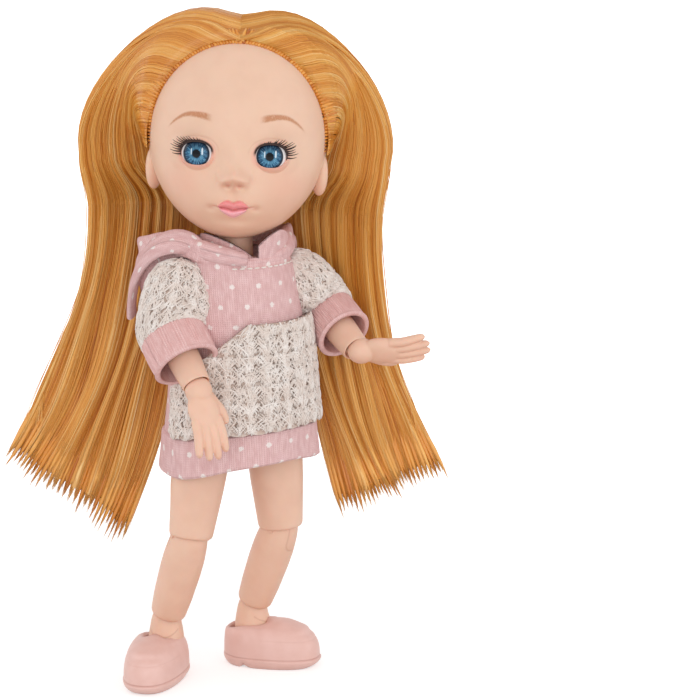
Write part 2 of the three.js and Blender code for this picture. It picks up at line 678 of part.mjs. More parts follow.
// Pieces of an arm, each in the frame of the joint that carries it, hanging along -Z
function upperArm(side, twist) {
  const form = turned([
    ...arcProfile(SHOULDER_DOME_RADIUS, 90, 0, 4),
    [ELBOW_RIM_RADIUS + 0.1, -UPPER_ARM_LENGTH / 2],
    [ELBOW_RIM_RADIUS, -UPPER_ARM_LENGTH],
    [0, -UPPER_ARM_LENGTH],
  ]);
  const relief = block(
    3 * ELBOW_RIM_RADIUS,
    2 * ELBOW_RIM_RADIUS,
    FOREARM_RADIUS + RELIEF_EASE,
    0,
    -ELBOW_RIM_RADIUS - ELBOW_PIN_RADIUS - CLEARANCE,
    -UPPER_ARM_LENGTH + (FOREARM_RADIUS + RELIEF_EASE) / 2 - CLEARANCE,
  );
  return cut(
    form,
    ball(SHOULDER_BALL_RADIUS + CLEARANCE),
    postSlot(side, RAISE_SLOT, SHOULDER_POST_RADIUS, 2 * SHOULDER_DOME_RADIUS),
    ball(ELBOW_BALL_RADIUS + CLEARANCE, 0, 0, -UPPER_ARM_LENGTH),
    relief.rotateZ(radians(twist)),
    pinHole(ELBOW_PIN_RADIUS, 2 * ELBOW_RIM_RADIUS, -UPPER_ARM_LENGTH).rotateZ(radians(twist)),
  );
}

function forearm() {
  const end = WRIST_RIM_RISE - FOREARM_LENGTH;
  const form = turned([
    ...arcProfile(ELBOW_BALL_RADIUS, 90, 0, 4),
    [ELBOW_BALL_RADIUS, -1.5],
    [FOREARM_RADIUS, -0.4 * FOREARM_LENGTH],
    [FOREARM_RADIUS - 0.2, -0.65 * FOREARM_LENGTH],
    [FOREARM_END_RADIUS, end + 0.4],
    [FOREARM_END_RADIUS - 0.3, end],
    [0, end],
  ]);
  return cut(
    form,
    ball(WRIST_DOME_RADIUS + CLEARANCE, 0, 0, -FOREARM_LENGTH),
    postHole(WRIST_POST_RADIUS, WRIST_POST_LENGTH, FOREARM_LENGTH),
    pinHole(ELBOW_PIN_RADIUS, 2 * ELBOW_BALL_RADIUS, 0),
  );
}

const hingePin = (pinRadius, rimRadius) =>
  rodAlongX(pinRadius, -rimRadius + CLEARANCE, rimRadius - CLEARANCE, 0, HOLE_SIDES);

// A finger or thumb: a tapering rod with round ends between two points
function finger(radius, from, to) {
  const length = from.distanceTo(to);
  const form = turned([
    ...arcProfile(radius, -90, 0, 1),
    ...arcProfile(0.86 * radius, 0, 90, 2, length),
  ], 6);
  const turn = new THREE.Quaternion().setFromUnitVectors(
    new THREE.Vector3(0, 0, 1),
    to.clone().sub(from).normalize(),
  );
  return form.applyQuaternion(turn).translate(from.x, from.y, from.z);
}

// A hand with its fingers along -Z, its palm facing +Y and its thumb towards the body
function hand(side) {
  const knuckles = KNUCKLE_INSET - PALM_LENGTH;
  const fingers = [-1.5, -0.5, 0.5, 1.5].map((place) => {
    const spread = place * (PALM_WIDTH / 4);
    const reach = FINGER_LENGTH * (1 - 0.1 * Math.abs(place - 0.2 * side));
    return finger(
      FINGER_RADIUS,
      new THREE.Vector3(0.92 * spread, 0, knuckles),
      new THREE.Vector3(1.2 * spread, FINGER_CURL, knuckles - reach),
    );
  });
  const thumbSide = -side * 0.34 * PALM_WIDTH;
  const thumb = finger(
    THUMB_RADIUS,
    new THREE.Vector3(thumbSide, 0, -THUMB_ROOT),
    new THREE.Vector3(thumbSide - side * 0.5 * THUMB_LENGTH, FINGER_CURL, -THUMB_ROOT - 0.8 * THUMB_LENGTH),
  );
  const halfPalm = 0.54 * PALM_LENGTH;
  const palm = ellipsoid(PALM_WIDTH / 2, PALM_THICKNESS / 2, halfPalm, 0, 0, -halfPalm, PEG_SIDES);
  const slotWidth = 2 * (WRIST_POST_RADIUS + CLEARANCE);
  const slot = slice(90 - WRIST_SLOT, 90 + WRIST_SLOT, 2 * WRIST_DOME_RADIUS, slotWidth)
    .rotateZ(Math.PI / 2);
  return cut(
    join(ball(WRIST_DOME_RADIUS), palm, thumb, ...fingers),
    ball(WRIST_BALL_RADIUS + CLEARANCE),
    slot,
  );
}

// Pieces of a leg, each in the frame of the joint that carries it, hanging along -Z
function thigh(side, twist) {
  const form = turned([
    ...arcProfile(THIGH_TOP_RADIUS, 90, 0, 4),
    [THIGH_RADIUS, -0.32 * THIGH_LENGTH],
    [THIGH_RADIUS - 0.3, -0.52 * THIGH_LENGTH],
    [KNEE_RIM_RADIUS + 0.2, -0.8 * THIGH_LENGTH],
    [KNEE_RIM_RADIUS, -THIGH_LENGTH],
    [0, -THIGH_LENGTH],
  ]);
  const relief = block(
    3 * KNEE_RIM_RADIUS,
    2 * KNEE_RIM_RADIUS,
    CALF_RADIUS + RELIEF_EASE,
    0,
    KNEE_RIM_RADIUS + KNEE_PIN_RADIUS + CLEARANCE,
    -THIGH_LENGTH + (CALF_RADIUS + RELIEF_EASE) / 2 - CLEARANCE,
  );
  return cut(
    form,
    ball(HIP_BALL_RADIUS + CLEARANCE),
    postSlot(side, SPREAD_SLOT, HIP_POST_RADIUS, 2 * THIGH_TOP_RADIUS),
    ball(KNEE_BALL_RADIUS + CLEARANCE, 0, 0, -THIGH_LENGTH),
    relief.rotateZ(radians(twist)),
    pinHole(KNEE_PIN_RADIUS, 2 * KNEE_RIM_RADIUS, -THIGH_LENGTH).rotateZ(radians(twist)),
  );
}

function shin() {
  const end = ANKLE_RIM_RISE - SHIN_LENGTH;
  const form = turned([
    ...arcProfile(KNEE_BALL_RADIUS, 90, 0, 4),
    [KNEE_BALL_RADIUS + 0.05, -1.5],
    [CALF_RADIUS, -0.34 * SHIN_LENGTH],
    [CALF_RADIUS - 0.15, -0.5 * SHIN_LENGTH],
    [SHIN_END_RADIUS, -0.82 * SHIN_LENGTH],
    [SHIN_END_RADIUS, end],
    [0, end],
  ]);
  return cut(
    form,
    ball(ANKLE_DOME_RADIUS + CLEARANCE, 0, 0, -SHIN_LENGTH),
    postHole(ANKLE_POST_RADIUS, ANKLE_POST_LENGTH, SHIN_LENGTH),
    pinHole(KNEE_PIN_RADIUS, 2 * KNEE_BALL_RADIUS, 0),
  );
}

// A foot with its toes towards -Y and its ankle centre at the origin
function footForm(grow) {
  const base = SOLE_THICKNESS + CLEARANCE - ANKLE_HEIGHT;
  const column = turned([
    ...arcProfile(ANKLE_DOME_RADIUS + grow, 90, 0, 4),
    [FOOT_COLUMN_RADIUS - 0.7 + grow, -0.25 * ANKLE_HEIGHT],
    [FOOT_COLUMN_RADIUS + grow, base + FOOT_THICKNESS / 2],
    [0, base + FOOT_THICKNESS / 2],
  ]);
  const sole = ellipsoid(
    FOOT_WIDTH / 2 + grow,
    FOOT_LENGTH / 2 + grow,
    FOOT_THICKNESS / 2 + grow,
    0,
    -FOOT_FORWARD,
    base + FOOT_THICKNESS / 2,
    LIMB_SIDES,
    TRIM_ROWS,
  );
  return join(column, sole);
}

function foot() {
  const reach = 2 * ANKLE_DOME_RADIUS;
  const opening = new THREE.ConeGeometry(reach * Math.tan(radians(ANKLE_CONE)), reach, LIMB_SIDES)
    .rotateX(-Math.PI / 2)
    .translate(0, 0, reach / 2);
  return cut(footForm(0), ball(ANKLE_BALL_RADIUS + CLEARANCE), opening);
}

// A moulded slip-on shoe round the foot, its sole on the floor
function shoeRing(height, halfWidth, toe, heel) {
  return Array.from({ length: SHOE_SIDES }, (unused, k) => {
    const angle = (2 * Math.PI * k) / SHOE_SIDES;
    const along = Math.cos(angle);
    const broad = Math.sign(Math.sin(angle)) * Math.abs(Math.sin(angle)) ** 0.8;
    const flare = 1 - 0.09 * along;
    return new THREE.Vector3(
      halfWidth * broad * flare,
      along < 0 ? toe * along : heel * along,
      height - ANKLE_HEIGHT,
    );
  });
}

function shoe() {
  const half = SHOE_WIDTH / 2;
  const form = loft([
    shoeRing(0, 0.84 * half, SHOE_TOE_REACH - 1.3, SHOE_HEEL_REACH - 1),
    shoeRing(0.35 * SOLE_THICKNESS, 0.94 * half, SHOE_TOE_REACH - 0.5, SHOE_HEEL_REACH - 0.3),
    shoeRing(SOLE_THICKNESS, half, SHOE_TOE_REACH, SHOE_HEEL_REACH),
    shoeRing(0.42 * SHOE_HEIGHT, half, SHOE_TOE_REACH - 0.1, SHOE_HEEL_REACH),
    shoeRing(0.66 * SHOE_HEIGHT, 0.91 * half, SHOE_TOE_REACH - 2.2, SHOE_HEEL_REACH - 0.3),
    shoeRing(0.86 * SHOE_HEIGHT, 0.76 * half, SHOE_TOE_REACH - 5.4, SHOE_HEEL_REACH - 0.8),
    shoeRing(SHOE_HEIGHT, 0.5 * half, SHOE_TOE_REACH - 8.6, SHOE_HEEL_REACH - 2),
  ]);
  const slope = Math.atan2(SHOE_VAMP_RIM - SHOE_HEEL_RIM, SHOE_HEEL_REACH + SHOE_VAMP_REACH);
  const opening = block(CUTTER, CUTTER, CUTTER, 0, CUTTER / 2, CUTTER / 2)
    .rotateX(-slope)
    .translate(0, -SHOE_VAMP_REACH, SHOE_VAMP_RIM - ANKLE_HEIGHT);
  return cut(form, opening, footForm(CLEARANCE));
}

// Dress: half width and half depth of the cloth's outer face by height above the hips
const DRESS_SECTIONS = [
  [-HEM_DROP, PELVIS_HALF_WIDTH + HEM_EASE, PELVIS_HALF_DEPTH + HEM_DEPTH_EASE],
  [SKIRT_TOP, PELVIS_HALF_WIDTH + SKIRT_EASE, PELVIS_HALF_DEPTH + SKIRT_DEPTH_EASE],
  [DRESS_WAIST, WAIST_HALF_WIDTH + WAIST_EASE, WAIST_HALF_DEPTH + WAIST_DEPTH_EASE],
  [SHOULDER_HEIGHT - BUST_DROP, CHEST_HALF_WIDTH + BUST_EASE, CHEST_HALF_DEPTH + BUST_DEPTH_EASE],
  [SHOULDER_HEIGHT - ARMPIT_DROP, CHEST_HALF_WIDTH + ARMPIT_EASE, CHEST_HALF_DEPTH + ARMPIT_DEPTH_EASE],
  [SHOULDER_HEIGHT - YOKE_HALF_HEIGHT, CHEST_HALF_WIDTH + YOKE_EASE, CHEST_HALF_DEPTH + YOKE_DEPTH_EASE],
  [SHOULDER_HEIGHT + YOKE_HALF_HEIGHT, CHEST_HALF_WIDTH + YOKE_TOP_EASE, CHEST_HALF_DEPTH + YOKE_TOP_DEPTH],
  [
    NECK_BASE_HEIGHT + CLOTH_GAP,
    CHEST_HALF_WIDTH - SHOULDER_EDGE_INSET,
    CHEST_HALF_DEPTH + SHOULDER_EDGE_INSET,
  ],
  [NECKLINE_HEIGHT, NECK_RADIUS + NECKLINE_EASE, NECK_RADIUS + NECKLINE_EASE],
];

function dressSize(z) {
  const above = DRESS_SECTIONS.findIndex(([height]) => height >= z - 1e-6);
  const high = DRESS_SECTIONS[Math.max(above, 1)];
  const low = DRESS_SECTIONS[Math.max(above, 1) - 1];
  const share = (z - low[0]) / (high[0] - low[0]);
  return [THREE.MathUtils.lerp(low[1], high[1], share), THREE.MathUtils.lerp(low[2], high[2], share)];
}

// A point of the dress, its angle measured from the front towards the left side
function dressPoint(angle, z, grow) {
  const [halfWidth, halfDepth] = dressSize(z);
  const hang = THREE.MathUtils.clamp((DRESS_WAIST - z) / (DRESS_WAIST + HEM_DROP), 0, 1);
  const fold = grow + FOLD_DEPTH * hang * Math.cos(FOLD_COUNT * angle);
  const x = (halfWidth + fold) * Math.sin(angle);
  return new THREE.Vector3(x, -(halfDepth + fold) * Math.cos(angle), z + DRESS_SLANT * hang * x);
}

const dressRing = (z, grow) =>
  Array.from({ length: DRESS_SIDES }, (unused, k) => dressPoint((2 * Math.PI * k) / DRESS_SIDES, z, grow));

const dressWall = (heights, outerGrow, innerGrow) =>
  wall(heights.map((z) => dressRing(z, outerGrow)), heights.map((z) => dressRing(z, innerGrow)));

// Everything inside the dress, used to keep the sleeves outside it
const dressSolid = (grow) =>
  loft(DRESS_SECTIONS.map(([z]) => dressRing(z, grow)));

const HEM_TOP = HEM_BAND_HEIGHT - HEM_DROP;

const hemBand = () =>
  dressWall(
    [-HEM_DROP, (HEM_TOP - HEM_DROP) / 2, HEM_TOP],
    HEM_THICKNESS - DRESS_THICKNESS,
    -DRESS_THICKNESS,
  );

const skirt = () =>
  dressWall(
    [HEM_TOP + CLEARANCE, (HEM_TOP + SKIRT_TOP) / 2, SKIRT_TOP - CLEARANCE / 2],
    0,
    -DRESS_THICKNESS,
  );

function bodice() {
  const heights = [SKIRT_TOP + CLEARANCE / 2, ...DRESS_SECTIONS.slice(2).map(([z]) => z)];
  const armhole = SHOULDER_DOME_RADIUS + ARMHOLE_EASE;
  return cut(
    dressWall(heights, 0, -DRESS_THICKNESS),
    ball(armhole, -SHOULDER_X, 0, SHOULDER_HEIGHT),
    ball(armhole, SHOULDER_X, 0, SHOULDER_HEIGHT),
  );
}

// A panel on the dress between two side edges, given for each height as two angles from the panel's facing
function dressPanel(rows, facing, gap, thickness) {
  const rings = Array.from({ length: PANEL_COLUMNS + 1 }, (unused, k) => {
    const turn = (from, to) => facing + radians(THREE.MathUtils.lerp(from, to, k / PANEL_COLUMNS));
    const side = (grow) => rows.map(([z, from, to]) => dressPoint(turn(from, to), z, grow));
    return [...side(gap + thickness), ...side(gap).reverse()];
  });
  return loft(rings);
}

// The slanted openings run from the pocket's sides to the corners of its top edge
function pocket() {
  const edges = (z) => {
    const share = THREE.MathUtils.clamp((z - POCKET_SHOULDER) / (POCKET_TOP - POCKET_SHOULDER), 0, 1);
    const edge = (corner) => THREE.MathUtils.lerp(POCKET_SIDE_ANGLE, corner, share);
    return [z, -edge(POCKET_RIGHT_ANGLE), edge(POCKET_LEFT_ANGLE)];
  };
  const heights = [POCKET_BASE, SKIRT_TOP, POCKET_SHOULDER, DRESS_WAIST, POCKET_TOP];
  return dressPanel(heights.map(edges), 0, CLOTH_GAP, POCKET_THICKNESS);
}

const backStrip = () =>
  dressPanel(
    [STRIP_BASE, DRESS_WAIST, STRIP_TOP].map((z) => [z, -STRIP_HALF_ANGLE, STRIP_HALF_ANGLE]),
    Math.PI,
    CLOTH_GAP,
    STRIP_THICKNESS,
  );

// Hood, folded down: a soft ring from the throat over the shoulders to a bag on the back
function hoodForm(grow) {
  const mirrored = HOOD_STATIONS.slice(1, -1).reverse().map((station) => ({ ...station, x: -station.x }));
  const stations = [...HOOD_STATIONS, ...mirrored];
  const middle = new THREE.CatmullRomCurve3(
    stations.map(({ x, y, rise }) => new THREE.Vector3(x, y, NECKLINE_HEIGHT + rise)),
    true,
  );
  const section = new THREE.CatmullRomCurve3(
    stations.map(({ halfThickness, halfHeight }) => new THREE.Vector3(halfThickness, halfHeight, 0)),
    true,
  );
  const rings = Array.from({ length: HOOD_STEPS }, (unused, step) => {
    const centre = middle.getPoint(step / HOOD_STEPS);
    const { x: halfThickness, y: halfHeight } = section.getPoint(step / HOOD_STEPS);
    const outward = new THREE.Vector3(centre.x, centre.y, 0).normalize();
    return Array.from({ length: HOOD_SIDES }, (alsoUnused, k) => {
      const angle = (2 * Math.PI * k) / HOOD_SIDES;
      return centre
        .clone()
        .addScaledVector(outward, (halfThickness + grow) * Math.cos(angle))
        .add(new THREE.Vector3(0, 0, (halfHeight + grow) * Math.sin(angle)));
    });
  });
  return loft(rings, true);
}

const hood = () => cut(hoodForm(0), dressSolid(CLOTH_GAP));

// A ring of cloth round an arm, square to a direction
function clothRing(centre, direction, radius) {
  const across = new THREE.Vector3(0, 1, 0).cross(direction).normalize();
  const other = new THREE.Vector3().crossVectors(direction, across).normalize();
  return Array.from({ length: SLEEVE_SIDES }, (unused, k) => {
    const angle = (2 * Math.PI * k) / SLEEVE_SIDES;
    return centre
      .clone()
      .addScaledVector(across, radius * Math.cos(angle))
      .addScaledVector(other, radius * Math.sin(angle));
  });
}

function clothTube(rows, thickness) {
  return wall(
    rows.map(([centre, direction, radius]) => clothRing(centre, direction, radius)),
    rows.map(([centre, direction, radius]) => clothRing(centre, direction, radius - thickness)),
  );
}

// A sleeve to the elbow and a folded cuff below it, from the places of the arm's joints
function sleeveAndCuff(sideName, shoulder, elbow, wrist) {
  const upper = elbow.clone().sub(shoulder).normalize();
  const lower = wrist.clone().sub(elbow).normalize();
  const between = upper.clone().add(lower).normalize();
  const along = (from, direction, distance) => from.clone().addScaledVector(direction, distance);
  const sleeve = clothTube([
    [along(shoulder, upper, -SLEEVE_TOP_REACH), upper, SLEEVE_TOP_RADIUS],
    [along(shoulder, upper, 0.25 * UPPER_ARM_LENGTH), upper, SLEEVE_RADIUS],
    [along(shoulder, upper, 0.6 * UPPER_ARM_LENGTH), upper, SLEEVE_RADIUS],
    [along(elbow, between, -CLEARANCE / 2), between, SLEEVE_RADIUS],
  ], SLEEVE_THICKNESS);
  const cuff = clothTube([
    [along(elbow, between, CLEARANCE / 2), between, SLEEVE_RADIUS],
    [along(elbow, lower, 0.5 * CUFF_LENGTH), lower, CUFF_RADIUS],
    [along(elbow, lower, CUFF_LENGTH), lower, CUFF_RADIUS],
  ], CUFF_THICKNESS);
  return [
    piece(`${sideName}_sleeve`, cut(sleeve, dressSolid(CLOTH_GAP), hoodForm(CLOTH_GAP)), CREAM_KNIT),
    piece(`${sideName}_cuff`, cut(cuff, dressSolid(2 * CLOTH_GAP + POCKET_THICKNESS)), PINK_KNIT),
  ];
}

// Assembly
function arm(sideName, side, pose) {
  const swing = jointFrame(`${sideName}_shoulder_swing`, side * SHOULDER_X, 0, SHOULDER_HEIGHT);
  swing.rotation.x = -radians(pose.swing);
  swing.add(piece(`${sideName}_shoulder_peg`, shoulderPeg(side), INNER_PLASTIC));

  const raise = jointFrame(`${sideName}_shoulder_raise`, 0, 0, 0);
  raise.rotation.y = -side * radians(pose.raise);
  raise.add(piece(`${sideName}_upper_arm`, upperArm(side, pose.twist), SKIN));
  swing.add(raise);

  const elbow = jointFrame(`${sideName}_elbow_bend`, 0, 0, -UPPER_ARM_LENGTH);
  elbow.rotation.set(-radians(pose.bend), 0, radians(pose.twist), 'ZYX');
  elbow.add(piece(`${sideName}_elbow_pin`, hingePin(ELBOW_PIN_RADIUS, ELBOW_RIM_RADIUS), INNER_PLASTIC));
  elbow.add(piece(`${sideName}_forearm`, forearm(), SKIN));
  raise.add(elbow);

  const twist = jointFrame(`${sideName}_wrist_twist`, 0, 0, -FOREARM_LENGTH);
  twist.rotation.z = radians(pose.wristTurn);
  const peg = plainPeg(WRIST_BALL_RADIUS, WRIST_POST_RADIUS, WRIST_POST_LENGTH);
  twist.add(piece(`${sideName}_wrist_peg`, peg, INNER_PLASTIC));
  elbow.add(twist);

  const bend = jointFrame(`${sideName}_wrist_bend`, 0, 0, 0);
  bend.rotation.x = radians(pose.wristBend);
  bend.add(piece(`${sideName}_hand`, hand(side), SKIN));
  twist.add(bend);
  return { swing, elbow, twist };
}

function leg(sideName, side, pose, kneeBend) {
  const swing = jointFrame(`${sideName}_hip_swing`, side * HIP_X, 0, 0);
  swing.rotation.x = -radians(pose.swing);
  swing.add(piece(`${sideName}_hip_peg`, hipPeg(side), INNER_PLASTIC));

  const spread = jointFrame(`${sideName}_hip_spread`, 0, 0, 0);
  spread.rotation.y = -side * radians(pose.spread);
  spread.add(piece(`${sideName}_thigh`, thigh(side, side * pose.turnout), SKIN));
  swing.add(spread);

  const knee = jointFrame(`${sideName}_knee_bend`, 0, 0, -THIGH_LENGTH);
  knee.rotation.set(radians(kneeBend), 0, side * radians(pose.turnout), 'ZYX');
  knee.add(piece(`${sideName}_knee_pin`, hingePin(KNEE_PIN_RADIUS, KNEE_RIM_RADIUS), INNER_PLASTIC));
  knee.add(piece(`${sideName}_shin`, shin(), SKIN));
  spread.add(knee);

  const twist = jointFrame(`${sideName}_ankle_twist`, 0, 0, -SHIN_LENGTH);
  const peg = plainPeg(ANKLE_BALL_RADIUS, ANKLE_POST_RADIUS, ANKLE_POST_LENGTH);
  twist.add(piece(`${sideName}_ankle_peg`, peg, INNER_PLASTIC));
  knee.add(twist);

  const bend = jointFrame(`${sideName}_ankle_bend`, 0, 0, 0);
  const upright = new THREE.Vector3(0, 0, 1);
  const level = new THREE.Quaternion().setFromAxisAngle(upright, side * radians(pose.heading));
  swing.updateMatrixWorld(true);
  bend.quaternion.copy(twist.getWorldQuaternion(new THREE.Quaternion()).invert().multiply(level));
  bend.add(piece(`${sideName}_foot`, foot(), SKIN));
  bend.add(piece(`${sideName}_shoe`, shoe(), SHOE_VINYL));
  twist.add(bend);
  return swing;
}

// How far the ankle centre lies below the hip centre, and the knee bend that gives a wanted drop
function legTurn(side, pose) {
  return new THREE.Matrix4().makeRotationFromEuler(new THREE.Euler(
    -radians(pose.swing),
    -side * radians(pose.spread),
    side * radians(pose.turnout),
  ));
}

function ankleDrop(side, pose, kneeBend) {
  const turn = legTurn(side, pose);
  const bend = radians(kneeBend);
  const thighEnd = new THREE.Vector3(0, 0, -THIGH_LENGTH).applyMatrix4(turn);
  const shinWay = new THREE.Vector3(0, Math.sin(bend), -Math.cos(bend)).applyMatrix4(turn);
  return -thighEnd.z - SHIN_LENGTH * shinWay.z;
}

function kneeBendFor(side, pose, drop) {
  const turn = legTurn(side, pose);
  const kneeDrop = -new THREE.Vector3(0, 0, -THIGH_LENGTH).applyMatrix4(turn).z;
  const sideways = new THREE.Vector3(0, 1, 0).applyMatrix4(turn).z;
  const upright = new THREE.Vector3(0, 0, 1).applyMatrix4(turn).z;
  const reach = Math.hypot(sideways, upright) * SHIN_LENGTH;
  const lean = Math.atan2(sideways, upright);
  return THREE.MathUtils.radToDeg(Math.acos((drop - kneeDrop) / reach) - lean);
}

function headAndHair() {
  const turn = jointFrame('neck_turn', 0, NECK_SETBACK, NECK_BASE_HEIGHT);
  turn.rotation.z = radians(HEAD_TURN);
  turn.add(piece('neck_knob', neckKnob(), SKIN));

  const nod = jointFrame('neck_nod', 0, 0, NECK_LENGTH);
  nod.rotation.set(radians(HEAD_NOD), radians(HEAD_TILT), 0);
  nod.add(piece('head_shell', headShell(), SKIN));
  nod.add(piece('right_eye', eyeForm(-1, 0), EYE));
  nod.add(piece('left_eye', eyeForm(1, 0), EYE));
  nod.add(piece('hair_cap', hairCap(), HAIR));
  nod.add(piece('hair_right_length', hairLength(RIGHT_HAIR), HAIR));
  nod.add(piece('hair_left_length', hairLength(LEFT_HAIR), HAIR));
  nod.add(piece('hair_back_length', hairLength(BACK_HAIR), HAIR));
  turn.add(nod);
  return turn;
}

function dress(arms) {
  const pieces = [
    piece('dress_bodice', bodice(), PINK_KNIT),
    piece('dress_skirt', skirt(), PINK_KNIT),
    piece('dress_hem_band', hemBand(), PINK_KNIT),
    piece('dress_pocket', pocket(), CREAM_KNIT),
    piece('dress_hood', hood(), PINK_KNIT),
    piece('dress_back_strip', backStrip(), PINK_KNIT),
  ];
  for (const [sideName, { swing, elbow, twist }] of Object.entries(arms)) {
    const places = [swing, elbow, twist].map((frame) => frame.getWorldPosition(new THREE.Vector3()));
    pieces.push(...sleeveAndCuff(sideName, ...places));
  }
  return pieces;
}

const torso = new THREE.Group();
const arms = { right: arm('right', -1, RIGHT_ARM), left: arm('left', 1, LEFT_ARM) };
torso.add(arms.right.swing, arms.left.swing);
torso.updateMatrixWorld(true);
torso.add(...torsoShells(), ...dress(arms), headAndHair());

const drop = ankleDrop(-1, RIGHT_LEG, RIGHT_KNEE_BEND);
torso.add(leg('right', -1, RIGHT_LEG, RIGHT_KNEE_BEND));
torso.add(leg('left', 1, LEFT_LEG, kneeBendFor(1, LEFT_LEG, drop)));
torso.position.z = drop + ANKLE_HEIGHT;

// The origin is on the floor, under the middle of the whole doll
const doll = new THREE.Group();
doll.add(torso);
const middle = new THREE.Box3().setFromObject(doll, true).getCenter(new THREE.Vector3());
torso.position.x = -middle.x;
torso.position.y = -middle.y;

export default doll;
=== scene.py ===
# Looks of a small jointed baby doll in a hooded knitted dress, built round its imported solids.
# Sizes are millimetres in the frame of the solids: +Z up, the chest faces -Y, the doll's left is +X.
import json

import bpy
import numpy as np
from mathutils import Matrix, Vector


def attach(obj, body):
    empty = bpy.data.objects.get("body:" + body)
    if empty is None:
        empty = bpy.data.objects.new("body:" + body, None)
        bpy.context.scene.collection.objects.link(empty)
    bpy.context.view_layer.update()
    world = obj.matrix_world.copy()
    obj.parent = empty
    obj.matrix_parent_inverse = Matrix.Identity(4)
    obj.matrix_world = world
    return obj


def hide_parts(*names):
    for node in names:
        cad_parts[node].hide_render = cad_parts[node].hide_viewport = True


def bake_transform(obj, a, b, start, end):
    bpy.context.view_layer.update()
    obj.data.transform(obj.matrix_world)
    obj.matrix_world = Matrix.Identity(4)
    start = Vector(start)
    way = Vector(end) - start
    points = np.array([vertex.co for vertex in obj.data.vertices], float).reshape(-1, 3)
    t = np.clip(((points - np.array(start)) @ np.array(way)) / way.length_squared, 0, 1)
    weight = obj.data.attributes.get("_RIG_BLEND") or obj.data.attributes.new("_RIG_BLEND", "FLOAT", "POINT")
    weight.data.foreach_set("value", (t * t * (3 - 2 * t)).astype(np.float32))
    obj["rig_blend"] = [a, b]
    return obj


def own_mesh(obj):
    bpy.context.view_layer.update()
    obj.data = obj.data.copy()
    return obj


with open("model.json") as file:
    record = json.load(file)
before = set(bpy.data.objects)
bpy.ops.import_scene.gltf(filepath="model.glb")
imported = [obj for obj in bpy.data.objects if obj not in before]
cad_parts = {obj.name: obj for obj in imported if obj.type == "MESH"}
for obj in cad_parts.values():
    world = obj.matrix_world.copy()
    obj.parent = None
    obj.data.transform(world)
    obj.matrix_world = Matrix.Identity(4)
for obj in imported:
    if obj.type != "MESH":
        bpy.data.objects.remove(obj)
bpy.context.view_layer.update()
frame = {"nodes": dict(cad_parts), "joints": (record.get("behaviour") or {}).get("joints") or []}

MM = 0.001
SEED = 11
SIDES = {"right": -1, "left": 1}
PLACES = {row["name"]: np.array(row["pos_m"]) / MM for row in frame["joints"]}
TORSO_PLACE = (PLACES["right_hip_swing"] + PLACES["left_hip_swing"]) / 2
UP = np.array([0.0, 0.0, 1.0])
TURN = 2 * np.pi
RIPPLE_TERMS = 7

# View
VIEW_DIRECTION = -25.0
VIEW_DISTANCE = 620.0
VIEW_HEIGHT = 212.0
VIEW_AIM_HEIGHT = 80.0
VIEW_FOCAL_PIXELS = 2685.0
VIEW_SIDE_PIXELS = 114.0
IMAGE_PIXELS = 700
SENSOR_WIDTH_MM = 36.0
VIEW_REACH_M = 50

# Head, about the middle of the face
HEAD_ANGLES = (("Z", -27), ("X", -4), ("Y", 2.5))
FACE_MIDDLE = np.array([0.0, -1.0, 19.0])
HEAD_HALF_WIDTH = 20.8
HEAD_FRONT = 19.5
HEAD_BACK = 23.5
HEAD_UP = 26.5
HEAD_DOWN = 24.2
FACE_POWER = 2.7
HEAD_COLUMNS = 460
HEAD_ROWS = 380
EYE_HALF = (4.3, 2.3, 4.0)
EYE_PLACE = (8.3, -3.8)
EYE_INSET = 1.6
EYE_TURN = 20
LID_SIDES = {-1: 8.75, 1: 8.1}
LID_HEIGHT = -3.75
LID_HALF = (3.5, 2.7)
LID_POWER = 2.3
LID_LIFT = 0.4
LID_FOLD = 1.42
IRIS_PLACE = (8.3, -3.85)
IRIS_SHIFT = -0.45
IRIS_EDGE = (3.15, 2.95)
IRIS_RIM = (2.2, 2.8)
PUPIL_EDGE = (1.05, 0.85)
LASHES = 16
SKIN_ROUGHNESS = 0.46
JAW_NARROW = 0.015
SCALP_EDGE = 5.0
MOUTH_HEIGHT = -16.0
MOUTH_ENDS = (5.2, 3.6)
UPPER_LIP = {"height": 2.4, "half_width": 3.7, "swell": 1.1}
LOWER_LIP = {"height": 2.0, "half_width": 3.4, "swell": 1.15}
LIP_BOW = 0.4
BROW_TOP = (10.2, 5.0)
BROW_THICK = 0.72
EAR_PLACE = (19.2, 0.4, -8.4)
EAR_HALF = (1.9, 3.3, 5.4)

# Each face form: sideways, height, half width, half height, rise
FACE_FORMS = (
    (0, -8.8, 1.75, 1.5, 3.5),
    (0, -5.2, 1.6, 2.6, 0.9),
    (2.4, -9.5, 0.9, 0.85, 1.25),
    (1.3, -10.8, 0.55, 0.4, -1.1),
    (4.0, -9.2, 0.5, 1.0, -0.4),
    (0, -12.9, 0.7, 1.1, -0.3),
    (0, -15.4, 4.4, 2.8, 0.9),
    (5.2, -16.0, 0.75, 0.6, -0.4),
    (0, -19.0, 3.0, 0.8, -0.45),
    (0, -21.3, 3.0, 1.7, 0.6),
    (10.5, -11.5, 4.8, 4.4, 0.6),
    (8.5, -3.8, 5.4, 4.4, -0.8),
    (8.0, 3.2, 6.0, 2.0, 0.35),
)

# Spots of the face, painted blush on the cheek and nose tip and painted shade at the nostril, nose wing and
# mouth corner: sideways, height, half width, half height
CHEEK = (11.5, -10.5, 4.6, 4.0)
NOSE_TIP = (0, -8.2, 2.6, 1.6)
NOSTRIL = (1.3, -10.7, 0.6, 0.45)
NOSE_WING = (3.7, -9.6, 0.7, 1.0)
MOUTH_CORNER = (5.0, -15.9, 0.8, 0.5)

# Window glints painted on the iris as highlights: sideways, height, half width, half height
EYE_GLINTS = ((1.35, 0.6, 0.2, 0.85), (-1.15, 0.45, 0.13, 0.75))

